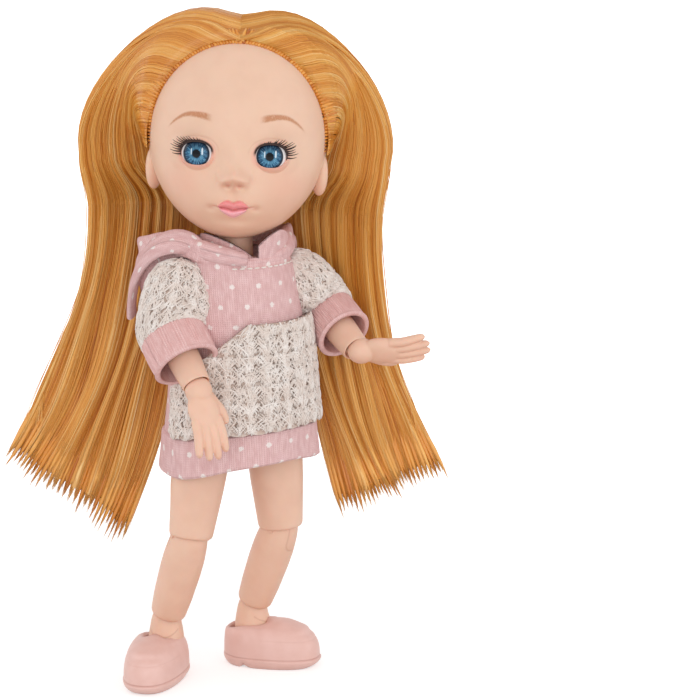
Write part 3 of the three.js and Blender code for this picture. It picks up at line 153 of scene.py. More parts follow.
# Hair, about the middle of the face in the head's frame
HAIRLINE_HALF = (20.2, 22.3)
HAIRLINE_LEVEL = -1.0
HAIRLINE_START = np.radians(-2.5)
HAIRLINE_END = np.radians(97)
HAIR_LEVEL = -6.0
HAIR_LEVEL_WIDTH = {-1: 1.0, 1: 0.95}
HAIR_TIP_THINNING = 0.52
CROWN_PUFF = {-1: 5.0, 1: 5.6}
CROWN_STEPS = 18
BRIDGE_STEPS = 9
FALL_STEPS = 26
BACK_FALL_STEPS = 22
BACK_EDGE = 240
HAIR_SPLIT = CROWN_STEPS + BRIDGE_STEPS - 2
STRAND_RADII = (0.08, 0.16)
HAIR_LIFT = 0.8
HAIR_EDGE = 420
STRAY_EVERY = 24
TUFTS = 30
TUFT_START = 0.945
TUFT_HEIGHT = 0.055
TUFT_RADIUS = 0.62
TUFT_PROFILE = (0.05, 0.2, 0.4, 0.7, 0.85, 0.55, 0.06)
FINE_ENDS = 3000
ROOT_PLUGS = 50
RIGHT_HAIR = {
    "side": -1,
    "seed": SEED,
    "strands": 1700,
    "clumps": 60,
    "inner": ((-9.5, 23.5, -19.3), (-11.5, 22.5, -61.3), (-24.4, 21, -103.6)),
    "outer": ((-34.8, 7.5, -19.3), (-34.5, 19.5, -49.3), (-56.5, 21, -83.3)),
    "half_depth": 5.0,
    "bow": 5.6,
}
LEFT_HAIR = {
    "side": 1,
    "seed": SEED + 5,
    "strands": 1600,
    "clumps": 56,
    "inner": ((9.7, 23.5, -19.3), (13.8, 28, -57.3), (29, 23, -94.3)),
    "outer": ((34.0, 8.5, -19.3), (33.6, 30.0, -49.3), (53.4, 24, -83.4)),
    "half_depth": 4.4,
    "bow": 5.6,
}
BACK_HAIR = {
    "seed": SEED + 9,
    "strands": 700,
    "inner": ((-14, 22.9, -19.3), (-16, 27.5, -46.3), (-15, 24, -73.3)),
    "outer": ((14, 22.9, -19.3), (16, 27.5, -46.3), (15, 24, -73.3)),
    "half_depth": 3.4,
    "bow": 0.0,
}

# Hair follows two bodies, turning from one to the other between two heights
HAIR_HINGES = {"crown": ("head", "neck", 126.0, 113.5), "length": ("neck", "torso", 108.0, 84.0)}

# Dress: height above the hips, half width, half depth
DRESS_SECTIONS = np.array([
    (-7.2, 18.6, 15.6),
    (7.2, 17.2, 14.4),
    (17, 16.6, 13.9),
    (23.5, 16.0, 13.3),
    (28, 15.3, 12.5),
    (32, 14.6, 11.7),
    (36, 13.8, 11.0),
    (39.4, 12.7, 10.4),
    (40.8, 11.9, 9.8),
])
HEM_BASE = -7.2
HEM_TOP = 0.9
SKIRT_TOP = 7.2
NECKLINE = 40.6
YOKE_TOP = 40.8
HANG_TOP = 17.0
HANG_LENGTH = 24.2
FOLD_COUNT = 6
FOLD_DEPTH = 0.45
HEM_SLANT = 0.06
HEM_DROOP = 3.0
CLOTH = 0.9
POCKET_BASE = 1.1
POCKET_SHOULDER = 11.0
POCKET_TOP = 26.0
POCKET_SIDE = 82
POCKET_TOP_RIGHT = -14
POCKET_TOP_LEFT = 64
POCKET_GAP = 0.5
POCKET_THICK = 1.0
STITCH_HEIGHT = 38.6
STITCH_ENDS = (-24, 54)
STITCH_WIDTH = 5.4
STITCHES = 11
LACE_STEPS = 9
POCKET_YARN = ((1.0, 0.21), (1.6, 0.14))
SLEEVE_YARN = ((11, 5, 0.2), (19, 9, 0.13))
LACE_CELLS = (11, 7)
DOT_ROW = 4.6
DOT_COLUMN = 5.8

# Flat sizes of the dress's cloth, and the share that the cut leaves
BODICE_FLAT = ((96, 34), 1.0)
SKIRT_FLAT = ((56, 10.0), 0.75)
HEM_FLAT = ((58, 10.0), 1.0)
STRIP_FLAT = ((10, 16), 0.56)

# Parts of the pocket: heights, rows and columns, shares of its width, flat size, share left by the cut
POCKET_PARTS = {
    "top": ((SKIRT_TOP, POCKET_TOP), (150, 260), (0, 1), ((47, 19), 0.85)),
    "right": ((POCKET_BASE, SKIRT_TOP), (60, 130), (0, 0.5), ((23.5, 10), 0.66)),
    "left": ((POCKET_BASE, SKIRT_TOP), (60, 130), (0.5, 1), ((23.5, 10), 0.66)),
}

# Hood roll, going round: x, y, rise over the neckline, half thickness, half height
HOOD_STATIONS = np.array([
    (0.5, -8.0, -1.2, 0.9, 1.4),
    (8.4, -6.6, 0.4, 1.5, 2.4),
    (13.2, 1.5, 2.4, 2.2, 2.6),
    (15.6, 11, -2.6, 3.0, 5.8),
    (0, 15.6, -6.5, 3.0, 9.0),
    (-17.2, 11.5, -4.6, 3.0, 8.0),
    (-13.6, 3.0, 2.0, 2.5, 3.0),
    (-8.6, -5.6, 0.6, 1.6, 2.6),
])
HOOD_ROWS = 220
HOOD_COLUMNS = 96

# Folded edges of the hood: places of the curve, half thickness, half width, share that keeps its fullness
HOOD_BANDS = {
    "hood_lapel": (((-13.0, 4.5, 43.8), (-12.6, -3.0, 43.2), (-9.4, -8.4, 42.0), (-2.6, -10.7, 40.6)),
                   1.2, 2.2, 0.84),
    "hood_lobe": (((-10.8, -2.0, 42.6), (-17.0, -1.0, 47.4), (-23.6, 9.0, 42.5), (-21.4, 13.4, 25.5)),
                  1.1, 3.3, 0.6),
}

# Standing flaps of the hood: angles, radii, heights of the low and of the high edge, share left by the cut
HOOD_FLAPS = {
    "hood_stand": ((-118, 4), (7.8, 7.4), (39.2, 39.2, 39.2, 38.8), (44.8, 45.6, 44.0, 40.4), 0.4),
    "hood_left_flap": ((4, 78), (10.0, 11.6), (38.8, 39.2, 39.4, 39.2), (43.4, 46.4, 45.8, 41.0), 0.62),
}

# Arms and legs
ARM_ANGLES = {
    "right": {"swing": 28, "raise": 21, "twist": 55, "bend": 32, "wrist_turn": -55, "wrist_bend": 21},
    "left": {"swing": 1, "raise": 39.5, "twist": -15, "bend": 62.5, "wrist_turn": -67, "wrist_bend": 58},
}
LEG_ANGLES = {
    "right": {"swing": 0, "spread": 9.6, "turnout": 6, "heading": 40},
    "left": {"swing": 1, "spread": 4.2, "turnout": 30, "heading": 45},
}
SLEEVE_THICK = 1.0
SLEEVE_HEADS = {
    "right": ((-5.6, 0.6), (-5.0, 3.4), (-3.0, 5.9), (0.5, 7.2), (5.0, 7.7)),
    "left": ((-5.2, 0.6), (-4.6, 3.2), (-2.4, 5.5), (1.0, 6.7), (5.0, 7.2)),
}
SLEEVE_ENDS = {"right": (7.7, 7.3), "left": (7.0, 6.5)}
CUFF_LENGTH = 9.5
CUFF_FULLNESS = {"right": 1.0, "left": 0.87}
CUFF_OUTLINE = ((-0.6, 7.0), (0.8, 7.65), (5.0, 7.75), (CUFF_LENGTH, 7.5))
CUFF_RIBS = 66
FINGER_LENGTHS = (7.0, 8.4, 8.3, 7.2)
HAND_VOXEL = 0.22
SHOE_HALF_WIDTH = 7.15
SHOE_SHIFT = {"right": (-1.4, 0.5, 0.0), "left": (0.0, 0.0, 0.0)}
SHOE_TOE = 17.3
SHOE_HEEL = 6.9
SHOE_TOP = 11.3
SHOE_HEEL_TOP = 8.4
SHOE_SIDE_TOP = 9.9
SHOE_SOLE = 2.3
SHOE_COLUMNS = 240
SHOE_WALL = 0.985
SOLE_EDGE = 0.86
INSTEP_NOTCH = 0.9
ANKLE_HEIGHT = 13.9

# Outlines of the limbs from the lower end up: radius, height
FOREARM = ((2.4, -13.4), (2.95, -14.9), (3.2, -15.1), (3.3, -14.6), (3.45, -12.5), (3.8, -8.0),
           (3.75, -4.0), (3.3, 0.0), (2.4, 2.2), (0.05, 3.2))
THIGH = ((4.3, -21.0), (4.5, -26.7), (4.9, -27.1), (5.25, -26.85), (5.4, -26.0), (5.75, -22.0),
         (6.35, -15.0), (6.7, -8.6), (6.4, -3.0), (5.2, 2.5), (3.0, 5.0), (0.05, 5.7))
SHIN = ((3.3, -18.5), (3.4, -21.8), (3.7, -22.35), (4.1, -22.1), (4.25, -21.4), (4.65, -17.0),
        (4.95, -10.0), (4.95, -6.0), (4.75, -3.2), (4.5, -1.0), (4.2, 0.6), (2.9, 2.9), (0.05, 4.0))
FOOT = ((3.8, -9.5), (4.3, -7.5), (4.3, -5.0), (4.1, -2.8), (3.85, -1.4), (3.6, 0.0), (3.1, 1.6),
        (1.9, 2.7), (0.05, 3.1))
NECK = ((4.2, -6.0), (4.1, 0.0), (4.0, 6.0), (4.3, 9.0), (3.6, 12.5), (0.05, 14.8))
LIMB_COLUMNS = 120
LINE_DEPTH = 0.03
LINE_HALF_WIDTH = 0.16

# Solids inside the doll that keep their own meshes, and those on each side
INNER_SHELLS = ("torso_front_shell", "torso_rear_shell")
INNER_PARTS = ("shoulder_peg", "upper_arm", "elbow_pin", "wrist_peg", "hip_peg", "knee_pin", "ankle_peg")

# Lights, in metres: place, target, size, power
LIGHTS = {
    "key": ((-0.6, -0.9, 0.3), (0, 0, 0.08), 0.6, 2.6),
    "fill": ((0.55, -0.85, 0.2), (0, 0, 0.08), 0.7, 2.1),
    "top": ((0.1, 0.3, 0.95), (0, 0, 0.08), 0.6, 0.15),
    "rim": ((-0.85, 0.45, 0.4), (0, 0, 0.1), 0.4, 1.1),
}
FLOOR_REACH = 6.0
WORLD_LIGHT = 0.76


# Small numeric tools
def rise(low, high, value):
    """Smooth step from 0 at low to 1 at high."""
    step = np.clip((value - low) / (high - low), 0, 1)
    return step * step * (3 - 2 * step)


def unit(vectors):
    return vectors / np.maximum(np.linalg.norm(vectors, axis=-1, keepdims=True), 1e-9)


def mixed(a, b, share):
    return a + (b - a) * share


def turn(axis, degrees):
    """Rotation matrix about X, Y or Z."""
    angle = np.radians(degrees)
    first, second = {"X": (1, 2), "Y": (2, 0), "Z": (0, 1)}[axis]
    matrix = np.eye(3)
    matrix[first, first] = matrix[second, second] = np.cos(angle)
    matrix[first, second] = -np.sin(angle)
    matrix[second, first] = np.sin(angle)
    return matrix


def turns(*steps):
    matrix = np.eye(3)
    for axis, degrees in steps:
        matrix = matrix @ turn(axis, degrees)
    return matrix


HEAD_TURN = turns(*HEAD_ANGLES)


def circle(count):
    """Angles all round, without the last that meets the first."""
    return np.linspace(0, TURN, count, endpoint=False)


def ripple(points, pitch, seed):
    """Smooth wandering value between -1 and 1, features about pitch apart."""
    source = np.random.default_rng(seed)
    total = 0
    for _ in range(RIPPLE_TERMS):
        direction = unit(source.normal(size=3))
        total = total + np.sin(points @ direction * TURN / (pitch * source.uniform(0.7, 1.6))
                               + source.uniform(0, 7))
    return total / RIPPLE_TERMS


def eased(fine, knots, rows, reach):
    """Rows of numbers read at fine places between the knots, with the corners rounded off."""
    reads = [[np.interp(fine + offset, knots, column) for column in rows.T] for offset in (-reach, 0, reach)]
    return np.mean(reads, axis=0).T


def bezier(a, b, c, share):
    share = share[..., None]
    return a * (1 - share) ** 2 + 2 * b * share * (1 - share) + c * share ** 2


def hermite(start, start_pull, end, end_pull, share):
    """Curve between two places with a pull at each, for many strands at once."""
    t = share[..., None]
    a, u, b, w = (part[:, None, :] for part in (start, start_pull, end, end_pull))
    return ((2 * t ** 3 - 3 * t ** 2 + 1) * a + (t ** 3 - 2 * t ** 2 + t) * u
            + (3 * t ** 2 - 2 * t ** 3) * b + (t ** 3 - t ** 2) * w)


# Meshes
class Shape:
    """Points, faces and values per point that become one mesh."""

    def __init__(self, points, faces, **values):
        self.points = np.asarray(points, float).reshape(-1, 3)
        self.faces = [np.asarray(some, np.int64) for some in faces]
        self.values = {key: np.asarray(value, float) for key, value in values.items()}

    def moved(self, matrix, place):
        self.points = self.points @ matrix.T + place


def joined(shapes):
    keys = {key: value.shape[1:] for shape in shapes for key, value in shape.values.items()}
    points, faces, values, start = [], [], {key: [] for key in keys}, 0
    for shape in shapes:
        count = len(shape.points)
        points.append(shape.points)
        faces.extend(some + start for some in shape.faces)
        for key, form in keys.items():
            values[key].append(shape.values.get(key, np.zeros((count,) + form)))
        start += count
    merged = {key: np.concatenate(some) for key, some in values.items()}
    return Shape(np.concatenate(points), faces, **merged)


def grid_faces(rows, columns, around=True):
    """Quads of a grid of points; they face out when columns run anticlockwise and rows run up."""
    r, c = np.meshgrid(np.arange(rows - 1), np.arange(columns if around else columns - 1), indexing="ij")
    after = (c + 1) % columns
    quads = [r * columns + c, r * columns + after, (r + 1) * columns + after, (r + 1) * columns + c]
    return np.stack(quads, -1).reshape(-1, 4)


def loft(rings, **values):
    """Skin over rings of points, with a flat fill of its own at each end; values are grids like the rings."""
    rows, columns = rings.shape[:2]
    k = np.arange(columns)
    fan = np.stack([k, (k + 1) % columns, np.full(columns, columns)], -1) + rows * columns
    faces = [grid_faces(rows, columns), fan[:, ::-1], fan + columns + 1]

    def filled(value):
        grid = np.broadcast_to(value, (rows, columns) + np.shape(value)[2:])
        ends = [part for row in (0, -1) for part in (grid[row], grid[row].mean(0)[None])]
        return np.concatenate([grid.reshape((-1,) + grid.shape[2:]), *ends])

    return Shape(filled(rings), faces, **{key: filled(value) for key, value in values.items()})


def grid_normals(points, around):
    """Outward direction at each point of a grid, given rows up and columns anticlockwise."""
    up = np.gradient(points, axis=0)
    if around:
        along = np.roll(points, -1, axis=1) - np.roll(points, 1, axis=1)
    else:
        along = np.gradient(points, axis=1)
    return unit(np.cross(along, up))


def sheet(outer, thickness, around, smooth=None, **values):
    """Cloth with an outer and an inner face and closed edges, and the outer face's directions."""
    rows, columns = outer.shape[:2]
    normals = grid_normals(outer, around)
    smooth = outer if smooth is None else smooth
    inner = smooth - grid_normals(smooth, around) * thickness
    count = rows * columns
    front = grid_faces(rows, columns, around)
    k = np.arange(columns if around else columns - 1)
    after = (k + 1) % columns
    top = (rows - 1) * columns
    faces = [front, front[:, ::-1] + count]
    faces.append(np.stack([after, k, k + count, after + count], -1))
    faces.append(np.stack([top + k, top + after, top + after + count, top + k + count], -1))
    if not around:
        r = np.arange(rows - 1) * columns
        faces.append(np.stack([r, r + columns, r + columns + count, r + count], -1))
        e = r + columns - 1
        faces.append(np.stack([e + columns, e, e + count, e + columns + count], -1))
    both = {key: np.concatenate([value.reshape((count,) + value.shape[2:])] * 2)
            for key, value in values.items()}
    shape = Shape(np.concatenate([outer.reshape(-1, 3), inner.reshape(-1, 3)]), faces, **both)
    shape.normals = np.concatenate([normals.reshape(-1, 3), -normals.reshape(-1, 3)])
    return shape


def tubes(paths, radii, sides=3, **values):
    """Closed tapered tubes along many paths; each value is one number per tube."""
    count, steps = paths.shape[:2]
    along = unit(np.gradient(paths, axis=1))
    lean = unit(np.array([0.31, 0.9, 0.23]))
    across = unit(np.cross(along, lean))
    other = np.cross(along, across)
    angles = circle(sides)
    offsets = (across[:, :, None] * np.cos(angles)[:, None] + other[:, :, None] * np.sin(angles)[:, None])
    points = paths[:, :, None] + offsets * np.broadcast_to(radii, (count, steps))[:, :, None, None]
    each = steps * sides
    starts = (np.arange(count) * each)[:, None, None]
    wall = (grid_faces(steps, sides)[None] + starts).reshape(-1, 4)
    first = (np.arange(sides)[::-1][None] + starts[:, 0]).reshape(-1, sides)
    last = (np.arange(sides)[None] + (steps - 1) * sides + starts[:, 0]).reshape(-1, sides)
    spread = {key: np.repeat(value, each) for key, value in values.items()}
    return Shape(points.reshape(-1, 3), [wall, first, last], **spread)


def add_piece(name, shape, look, normals=None):
    """Makes the mesh object; it keeps its resting places in an attribute so patterns stay on it."""
    mesh = bpy.data.meshes.new(name)
    mesh.vertices.add(len(shape.points))
    mesh.vertices.foreach_set("co", (shape.points * MM).astype(np.float32).ravel())
    sizes = np.concatenate([np.full(len(some), some.shape[1]) for some in shape.faces])
    corners = np.concatenate([some.ravel() for some in shape.faces])
    mesh.loops.add(len(corners))
    mesh.loops.foreach_set("vertex_index", corners.astype(np.int32))
    mesh.polygons.add(len(sizes))
    mesh.polygons.foreach_set("loop_start", np.concatenate([[0], np.cumsum(sizes)[:-1]]).astype(np.int32))
    mesh.polygons.foreach_set("use_smooth", np.ones(len(sizes), bool))
    mesh.update(calc_edges=True)
    for key, value in {"rest": shape.points, **shape.values}.items():
        kind, field = ("FLOAT_VECTOR", "vector") if value.ndim == 2 else ("FLOAT", "value")
        mesh.attributes.new(key, kind, "POINT").data.foreach_set(field, value.astype(np.float32).ravel())
    if normals is not None:
        mesh.normals_split_custom_set_from_vertices(normals.tolist())
    mesh.materials.append(look)
    made = bpy.data.objects.new(name, mesh)
    bpy.context.scene.collection.objects.link(made)
    return made


def fit(made, slot, body, *nodes):
    """Hides the solids a piece stands for and attaches it to the body it rides, if just one; the slot is not
    used.
    """
    if nodes:
        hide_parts(*nodes)
    if body:
        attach(made, body)


# Materials
def colour(red, green, blue):
    """Linear colour from the eight-bit display values."""
    shown = np.array([red, green, blue]) / 255
    linear = np.where(shown <= 0.04045, shown / 12.92, ((shown + 0.055) / 1.055) ** 2.4)
    return (*linear.tolist(), 1.0)


class Wire:
    """An output of a material's nodes that can stand in sums."""

    def __init__(self, look, socket):
        self.look = look
        self.socket = socket

    def __add__(self, other):
        return self.look.math("ADD", self, other)

    def __sub__(self, other):
        return self.look.math("SUBTRACT", self, other)

    def __rsub__(self, other):
        return self.look.math("SUBTRACT", other, self)

    def __mul__(self, other):
        return self.look.math("MULTIPLY", self, other)

    def __truediv__(self, other):
        return self.look.math("DIVIDE", self, other)

    def __mod__(self, other):
        return self.look.math("MODULO", self, other)

    def __pow__(self, other):
        return self.look.math("POWER", self, other)

    def __abs__(self):
        return self.look.math("ABSOLUTE", self)


class Look:
    """One procedural material and short calls for its nodes."""

    def __init__(self, name, roughness, specular=0.4):
        self.material = bpy.data.materials.new(name)
        self.material.use_nodes = True
        self.tree = self.material.node_tree
        self.shader = self.tree.nodes["Principled BSDF"]
        self.set("Roughness", roughness)
        self.set("Specular IOR Level", specular)

    def set(self, name, value):
        self.feed(self.shader.inputs[name], value)

    def feed(self, socket, value):
        if isinstance(value, Wire):
            self.tree.links.new(value.socket, socket)
        else:
            socket.default_value = value

    def node(self, kind, inputs=(), output=0, **settings):
        """Adds a node and gives one of its outputs; inputs are pairs of a socket and its value."""
        made = self.tree.nodes.new(kind)
        for key, value in settings.items():
            setattr(made, key, value)
        for key, value in inputs:
            self.feed(made.inputs[key], value)
        return Wire(self, made.outputs[output])

    def value(self, name):
        return self.node("ShaderNodeAttribute", output="Fac", attribute_name=name)

    def place(self, name="rest"):
        return self.node("ShaderNodeAttribute", output="Vector", attribute_name=name)

    def geometry(self, name):
        return self.node("ShaderNodeNewGeometry", output=name)

    def math(self, operation, a, b=0.0):
        return self.node("ShaderNodeMath", enumerate((a, b)), operation=operation)

    def step(self, value, low, high):
        ends = (("Value", value), ("From Min", low), ("From Max", high))
        return self.node("ShaderNodeMapRange", ends, interpolation_type="SMOOTHSTEP")

    def split(self, vector):
        made = self.tree.nodes.new("ShaderNodeSeparateXYZ")
        self.feed(made.inputs[0], vector)
        return [Wire(self, output) for output in made.outputs]

    def noise(self, vector, scale, detail=3.0, stretch=(1, 1, 1)):
        spread = self.node("ShaderNodeMapping", (("Vector", vector), ("Scale", stretch)))
        inputs = (("Vector", spread), ("Scale", scale), ("Detail", detail))
        return self.node("ShaderNodeTexNoise", inputs, "Fac")

    def mix(self, share, a, b):
        return self.node("ShaderNodeMix", ((0, share), (6, a), (7, b)), 2, data_type="RGBA")

    def coats(self, tint, *coats):
        """Lays tints over a first one, each by its share."""
        for share, coat in coats:
            tint = self.mix(share, tint, coat)
        return tint

    def ramp(self, value, *stops):
        made = self.tree.nodes.new("ShaderNodeValToRGB")
        bands = made.color_ramp.elements
        for _ in stops[2:]:
            bands.new(0.5)
        for band, (position, tint) in zip(bands, stops):
            band.position = position
            band.color = tint
        self.feed(made.inputs[0], value)
        return Wire(self, made.outputs[0])

    def bump(self, height, depth_mm, strength):
        inputs = (("Distance", depth_mm * MM), ("Strength", strength), ("Height", height))
        self.set("Normal", self.node("ShaderNodeBump", inputs))

    def paint(self, tint):
        self.set("Base Color", tint)
        return self.material


def skin_look(name, tint, deep):
    """Soft vinyl: an even tint with faint mottling and a fine moulded grain, with painted warm shade on what
    faces down.
    """
    look = Look(name, SKIN_ROUGHNESS, specular=0.35)
    place = look.place()
    mottle = look.noise(place, 0.22, 2.0)
    look.bump(look.noise(place, 3.5, 2.0), depth_mm=0.02, strength=0.4)
    look.set("Subsurface Weight", 0.15)
    look.set("Subsurface Scale", 2 * MM)
    facing = look.split(look.geometry("Normal"))[2]
    # Surfaces that face down take a warmer, darker tint: painted shade
    under = look.step(facing, 0.0, -0.9) * 0.45
    return look, look.coats(tint, (look.step(mottle, 0.3, 0.75), deep), (under, colour(224, 156, 122)))


def face_look():
    """Vinyl with painted lips, brows, lids and blush, painted shade in the face's hollows, and a
    hair-coloured scalp behind, painted darker like hair in shade.
    """
    look, tint = skin_look("face_vinyl", colour(236, 197, 172), colour(233, 193, 168))
    place = look.place()
    hairs = look.step(look.noise(place, 1.1, 2.0, (5.0, 1.0, 2.0)), 0.2, 0.6)
    shine = look.noise(place, 1.6, 3.0, (3, 1, 1))
    comb = look.noise(place, 1.3, 3.0, (2.0, 3.0, 0.4))
    tint = look.coats(
        tint,
        (look.value("blush"), colour(231, 158, 138)),
        (look.value("upper_lip"), look.mix(shine, colour(232, 134, 132), colour(242, 156, 156))),
        (look.value("lower_lip"), look.mix(shine, colour(244, 156, 164), colour(254, 188, 194))),
        (look.value("crease"), colour(190, 96, 84)),
        (look.math("MINIMUM", look.value("brow") * (hairs + 0.6), 0.9), colour(192, 128, 88)),
        (look.value("lid"), colour(232, 148, 136)),
        (look.value("line"), colour(34, 20, 18)),
        # The scalp is hair-coloured, painted darker like hair in shade
        (look.value("scalp"), look.mix(comb, colour(146, 84, 30), colour(206, 136, 62))))
    look.set("Roughness", SKIN_ROUGHNESS - look.value("lower_lip") * 0.26)
    return look.paint(tint)


def limb_look():
    look, tint = skin_look("limb_plastic", colour(237, 195, 171), colour(233, 189, 165))
    return look.paint(look.mix(look.value("crease"), tint, colour(172, 108, 84)))


def inner_look():
    """The solids inside the clothes and joints, which keep their own meshes."""
    look = Look("inner_plastic", roughness=0.5)
    place = look.node("ShaderNodeTexCoord", output="Object")
    mottle = look.noise(place, 260, 3.0)
    look.bump(look.noise(place, 2600, 2.0), depth_mm=0.02, strength=0.4)
    return look.paint(look.mix(look.step(mottle, 0.3, 0.7), colour(234, 190, 167), colour(228, 180, 156)))


def eye_look():
    """Painted glass eye: white, a rayed blue iris in a navy ring, a pupil, and soft window glints painted on
    as highlights.
    """
    look = Look("eye_gloss", roughness=0.1, specular=0.2)
    across, up, _ = look.split(look.place("gaze"))
    far = look.math("SQRT", across * across + up * up)
    angle = look.math("ARCTAN2", up, across)
    spokes = look.node("ShaderNodeCombineXYZ", enumerate((look.math("COSINE", angle) * 5.0,
                                                          look.math("SINE", angle) * 5.0, far * 0.5)))
    rays = look.noise(spokes, 1.8, 4.0)
    blue = look.ramp(rays, (0.3, colour(8, 38, 62)), (0.5, colour(28, 84, 122)), (0.7, colour(122, 182, 214)))
    ring = look.step(far, 0.9, 1.3) * look.step(far, 2.0, 1.4)
    blue = look.coats(
        blue,
        (ring * 0.4, colour(112, 176, 206)),
        # The top of the iris darkens under the lid: painted shadow
        (look.step(up, 0.0, 2.6) * 0.75, colour(6, 30, 50)),
        (look.step(far, *IRIS_RIM), colour(8, 30, 50)),
        (look.step(far, *PUPIL_EDGE), colour(6, 10, 16)))
    white = look.mix(look.noise(look.place(), 0.8), colour(244, 238, 238), colour(226, 216, 216))
    tint = look.mix(look.step(far, *IRIS_EDGE), white, blue)
    # Painted highlights of window glints
    for x, z, half_width, half_height in EYE_GLINTS:
        gap = abs((across - x) / half_width) ** 3.0 + abs((up - z) / half_height) ** 3.0
        tint = look.mix(look.step(gap, 1.2, 0.5) * 0.75, tint, colour(235, 245, 252))
    return look.paint(tint)


def lash_look():
    look = Look("lash", roughness=0.6)
    return look.paint(look.mix(look.noise(look.place(), 2.0), colour(30, 18, 16), colour(62, 36, 28)))


def hair_look():
    """Combed nylon: a tone per strand with fine streaks along it, darkened where the shade value asks for
    painted shade.
    """
    look = Look("hair_fibre", roughness=0.3, specular=0.55)
    streak = look.noise(look.place("comb"), 1.0, 4.0)
    tone = look.value("tone") + (streak - 0.5) * 0.7
    tint = look.ramp(tone, (0.0, colour(184, 98, 20)), (0.32, colour(222, 142, 50)),
                     (0.64, colour(242, 178, 88)), (1.0, colour(255, 220, 156)))
    look.bump(streak, depth_mm=0.18, strength=0.6)
    return look.paint(look.mix(look.value("shade"), tint, colour(160, 80, 16)))


def pink_look(name, wale, tint, deep, dots=False):
    """Fine heathered jersey with ribs, painted shade in the rib grooves, and ragged white dots in staggered
    rows where asked for.
    """
    look = Look(name, roughness=0.88, specular=0.15)
    weave = look.place("weave")
    across, up, _ = look.split(weave)
    rib = look.math("SINE", across * (TURN / wale))
    course = look.math("SINE", up * (TURN / (wale * 0.9)))
    height = rib + course * 0.55
    heather = look.noise(weave, 0.9, 4.0, (1.0, 0.35, 1.0))
    look.bump(height + look.noise(weave, 5.0, 3.0) * 2.0, depth_mm=0.06, strength=0.7)
    # The rib grooves take the deep colour as painted shade
    base = look.coats(deep, (look.step(heather, 0.3, 0.7), tint), (look.step(height, 0.1, -1.5), deep))
    if dots:
        row = up / DOT_ROW
        column = across / DOT_COLUMN + look.math("FLOOR", row) % 2.0 * 0.5
        dx = (look.math("FRACT", column) - 0.5) * DOT_COLUMN
        dz = (look.math("FRACT", row) - 0.5) * DOT_ROW
        ragged = look.math("SQRT", dx * dx + dz * dz) + look.noise(weave, 2.6, 2.0) * 0.9
        base = look.mix(look.step(ragged, 1.12, 0.9) * 0.85, base, colour(250, 240, 236))
    return look.paint(base)


def cream_look(name, light, dark):
    """Soft curled yarn: cream, darkened by painted shade where the shade value marks hollows."""
    look = Look(name, roughness=0.92, specular=0.12)
    place = look.place()
    blotch = look.noise(place, 0.45, 4.0)
    look.bump(look.noise(place, 4.0, 3.0), depth_mm=0.1, strength=0.8)
    return look.paint(look.coats(dark, (look.step(blotch, 0.32, 0.7), light), (look.value("shade"), dark)))


def shoe_look():
    look = Look("shoe_vinyl", roughness=0.42, specular=0.4)
    place = look.place()
    soft = look.step(look.noise(place, 0.3, 2.0), 0.3, 0.7)
    look.bump(look.noise(place, 4.5, 2.0), depth_mm=0.03, strength=0.5)
    # Darker where the crease shade value marks painted shade at the welt, the ridge and inside the rim
    return look.paint(look.coats(colour(238, 196, 186), (soft, colour(234, 190, 179)),
                                 (look.value("crease"), colour(176, 118, 104))))


# Head
def head_world(points):
    return (np.asarray(points) + FACE_MIDDLE) @ HEAD_TURN.T + PLACES["neck_nod"]


def fullness(height):
    """How much fuller the lower face stands than an ellipsoid."""
    drop = np.clip(-height / HEAD_DOWN, 0, 0.995)
    return (1 - drop ** FACE_POWER) ** (1 / FACE_POWER) / np.sqrt(1 - drop ** 2)


def face_depth(x, z):
    """Depth of the plain face in front of its middle."""
    high = np.where(z < 0, HEAD_DOWN, HEAD_UP)
    inside = np.clip(1 - (x / HEAD_HALF_WIDTH) ** 2 - (z / high) ** 2, 0, 1)
    return -HEAD_FRONT * fullness(z) * np.sqrt(inside)


def eyeball_depth(x, z):
    """Depth of the front of the nearer eyeball, worked out on the doll's left side."""
    middle = face_depth(EYE_PLACE[0], np.float64(EYE_PLACE[1])) + EYE_INSET
    dx = np.abs(x) - EYE_PLACE[0]
    dz = z - EYE_PLACE[1]
    c, s = np.cos(np.radians(EYE_TURN)), np.sin(np.radians(EYE_TURN))
    wide, deep, high = EYE_HALF
    a = s ** 2 / wide ** 2 + c ** 2 / deep ** 2
    b = 2 * dx * c * s * (1 / wide ** 2 - 1 / deep ** 2)
    rest = dx ** 2 * (c ** 2 / wide ** 2 + s ** 2 / deep ** 2) + dz ** 2 / high ** 2 - 1
    return middle + (-b - np.sqrt(np.maximum(b ** 2 - 4 * a * rest, 0))) / (2 * a)


def lid_measure(x, z):
    """1 on the edge of the eye opening, less inside."""
    wide = np.abs((np.abs(x) - np.where(x > 0, LID_SIDES[1], LID_SIDES[-1])) / LID_HALF[0])
    high = np.abs((z - LID_HEIGHT) / LID_HALF[1])
    return (wide ** LID_POWER + high ** LID_POWER) ** (1 / LID_POWER)


def lip_values(x, z):
    """Paint of the upper and the lower lip, their height and the parting line of the mouth."""
    line = MOUTH_HEIGHT - 0.35 * np.exp(-(x / 1.1) ** 2) + 0.02 * x ** 2
    over = z - line

    def lip(form, bend, power, bow, height, edge):
        tall = form["height"] * np.clip(1 - np.abs(x / form["half_width"]) ** bend, 0, 1) ** power
        tall = tall - bow * np.exp(-(x / 0.75) ** 2)
        paint = rise(-0.1, edge, tall - height) * rise(-0.06, 0.02, height) * rise(0.0, 0.3, tall)
        arch = np.sin(np.pi * np.clip(height / np.maximum(tall, 0.1), 0, 1)) ** 0.8
        return np.clip(paint, 0, 1), form["swell"] * paint * arch

    upper, upper_swell = lip(UPPER_LIP, 2.0, 0.8, LIP_BOW, over, 0.35)
    lower, lower_swell = lip(LOWER_LIP, 2.2, 0.75, 0, -over, 0.4)
    parting = np.exp(-(over / 0.2) ** 2) * rise(*MOUTH_ENDS, np.abs(x))
    return upper, lower, upper_swell + lower_swell, parting


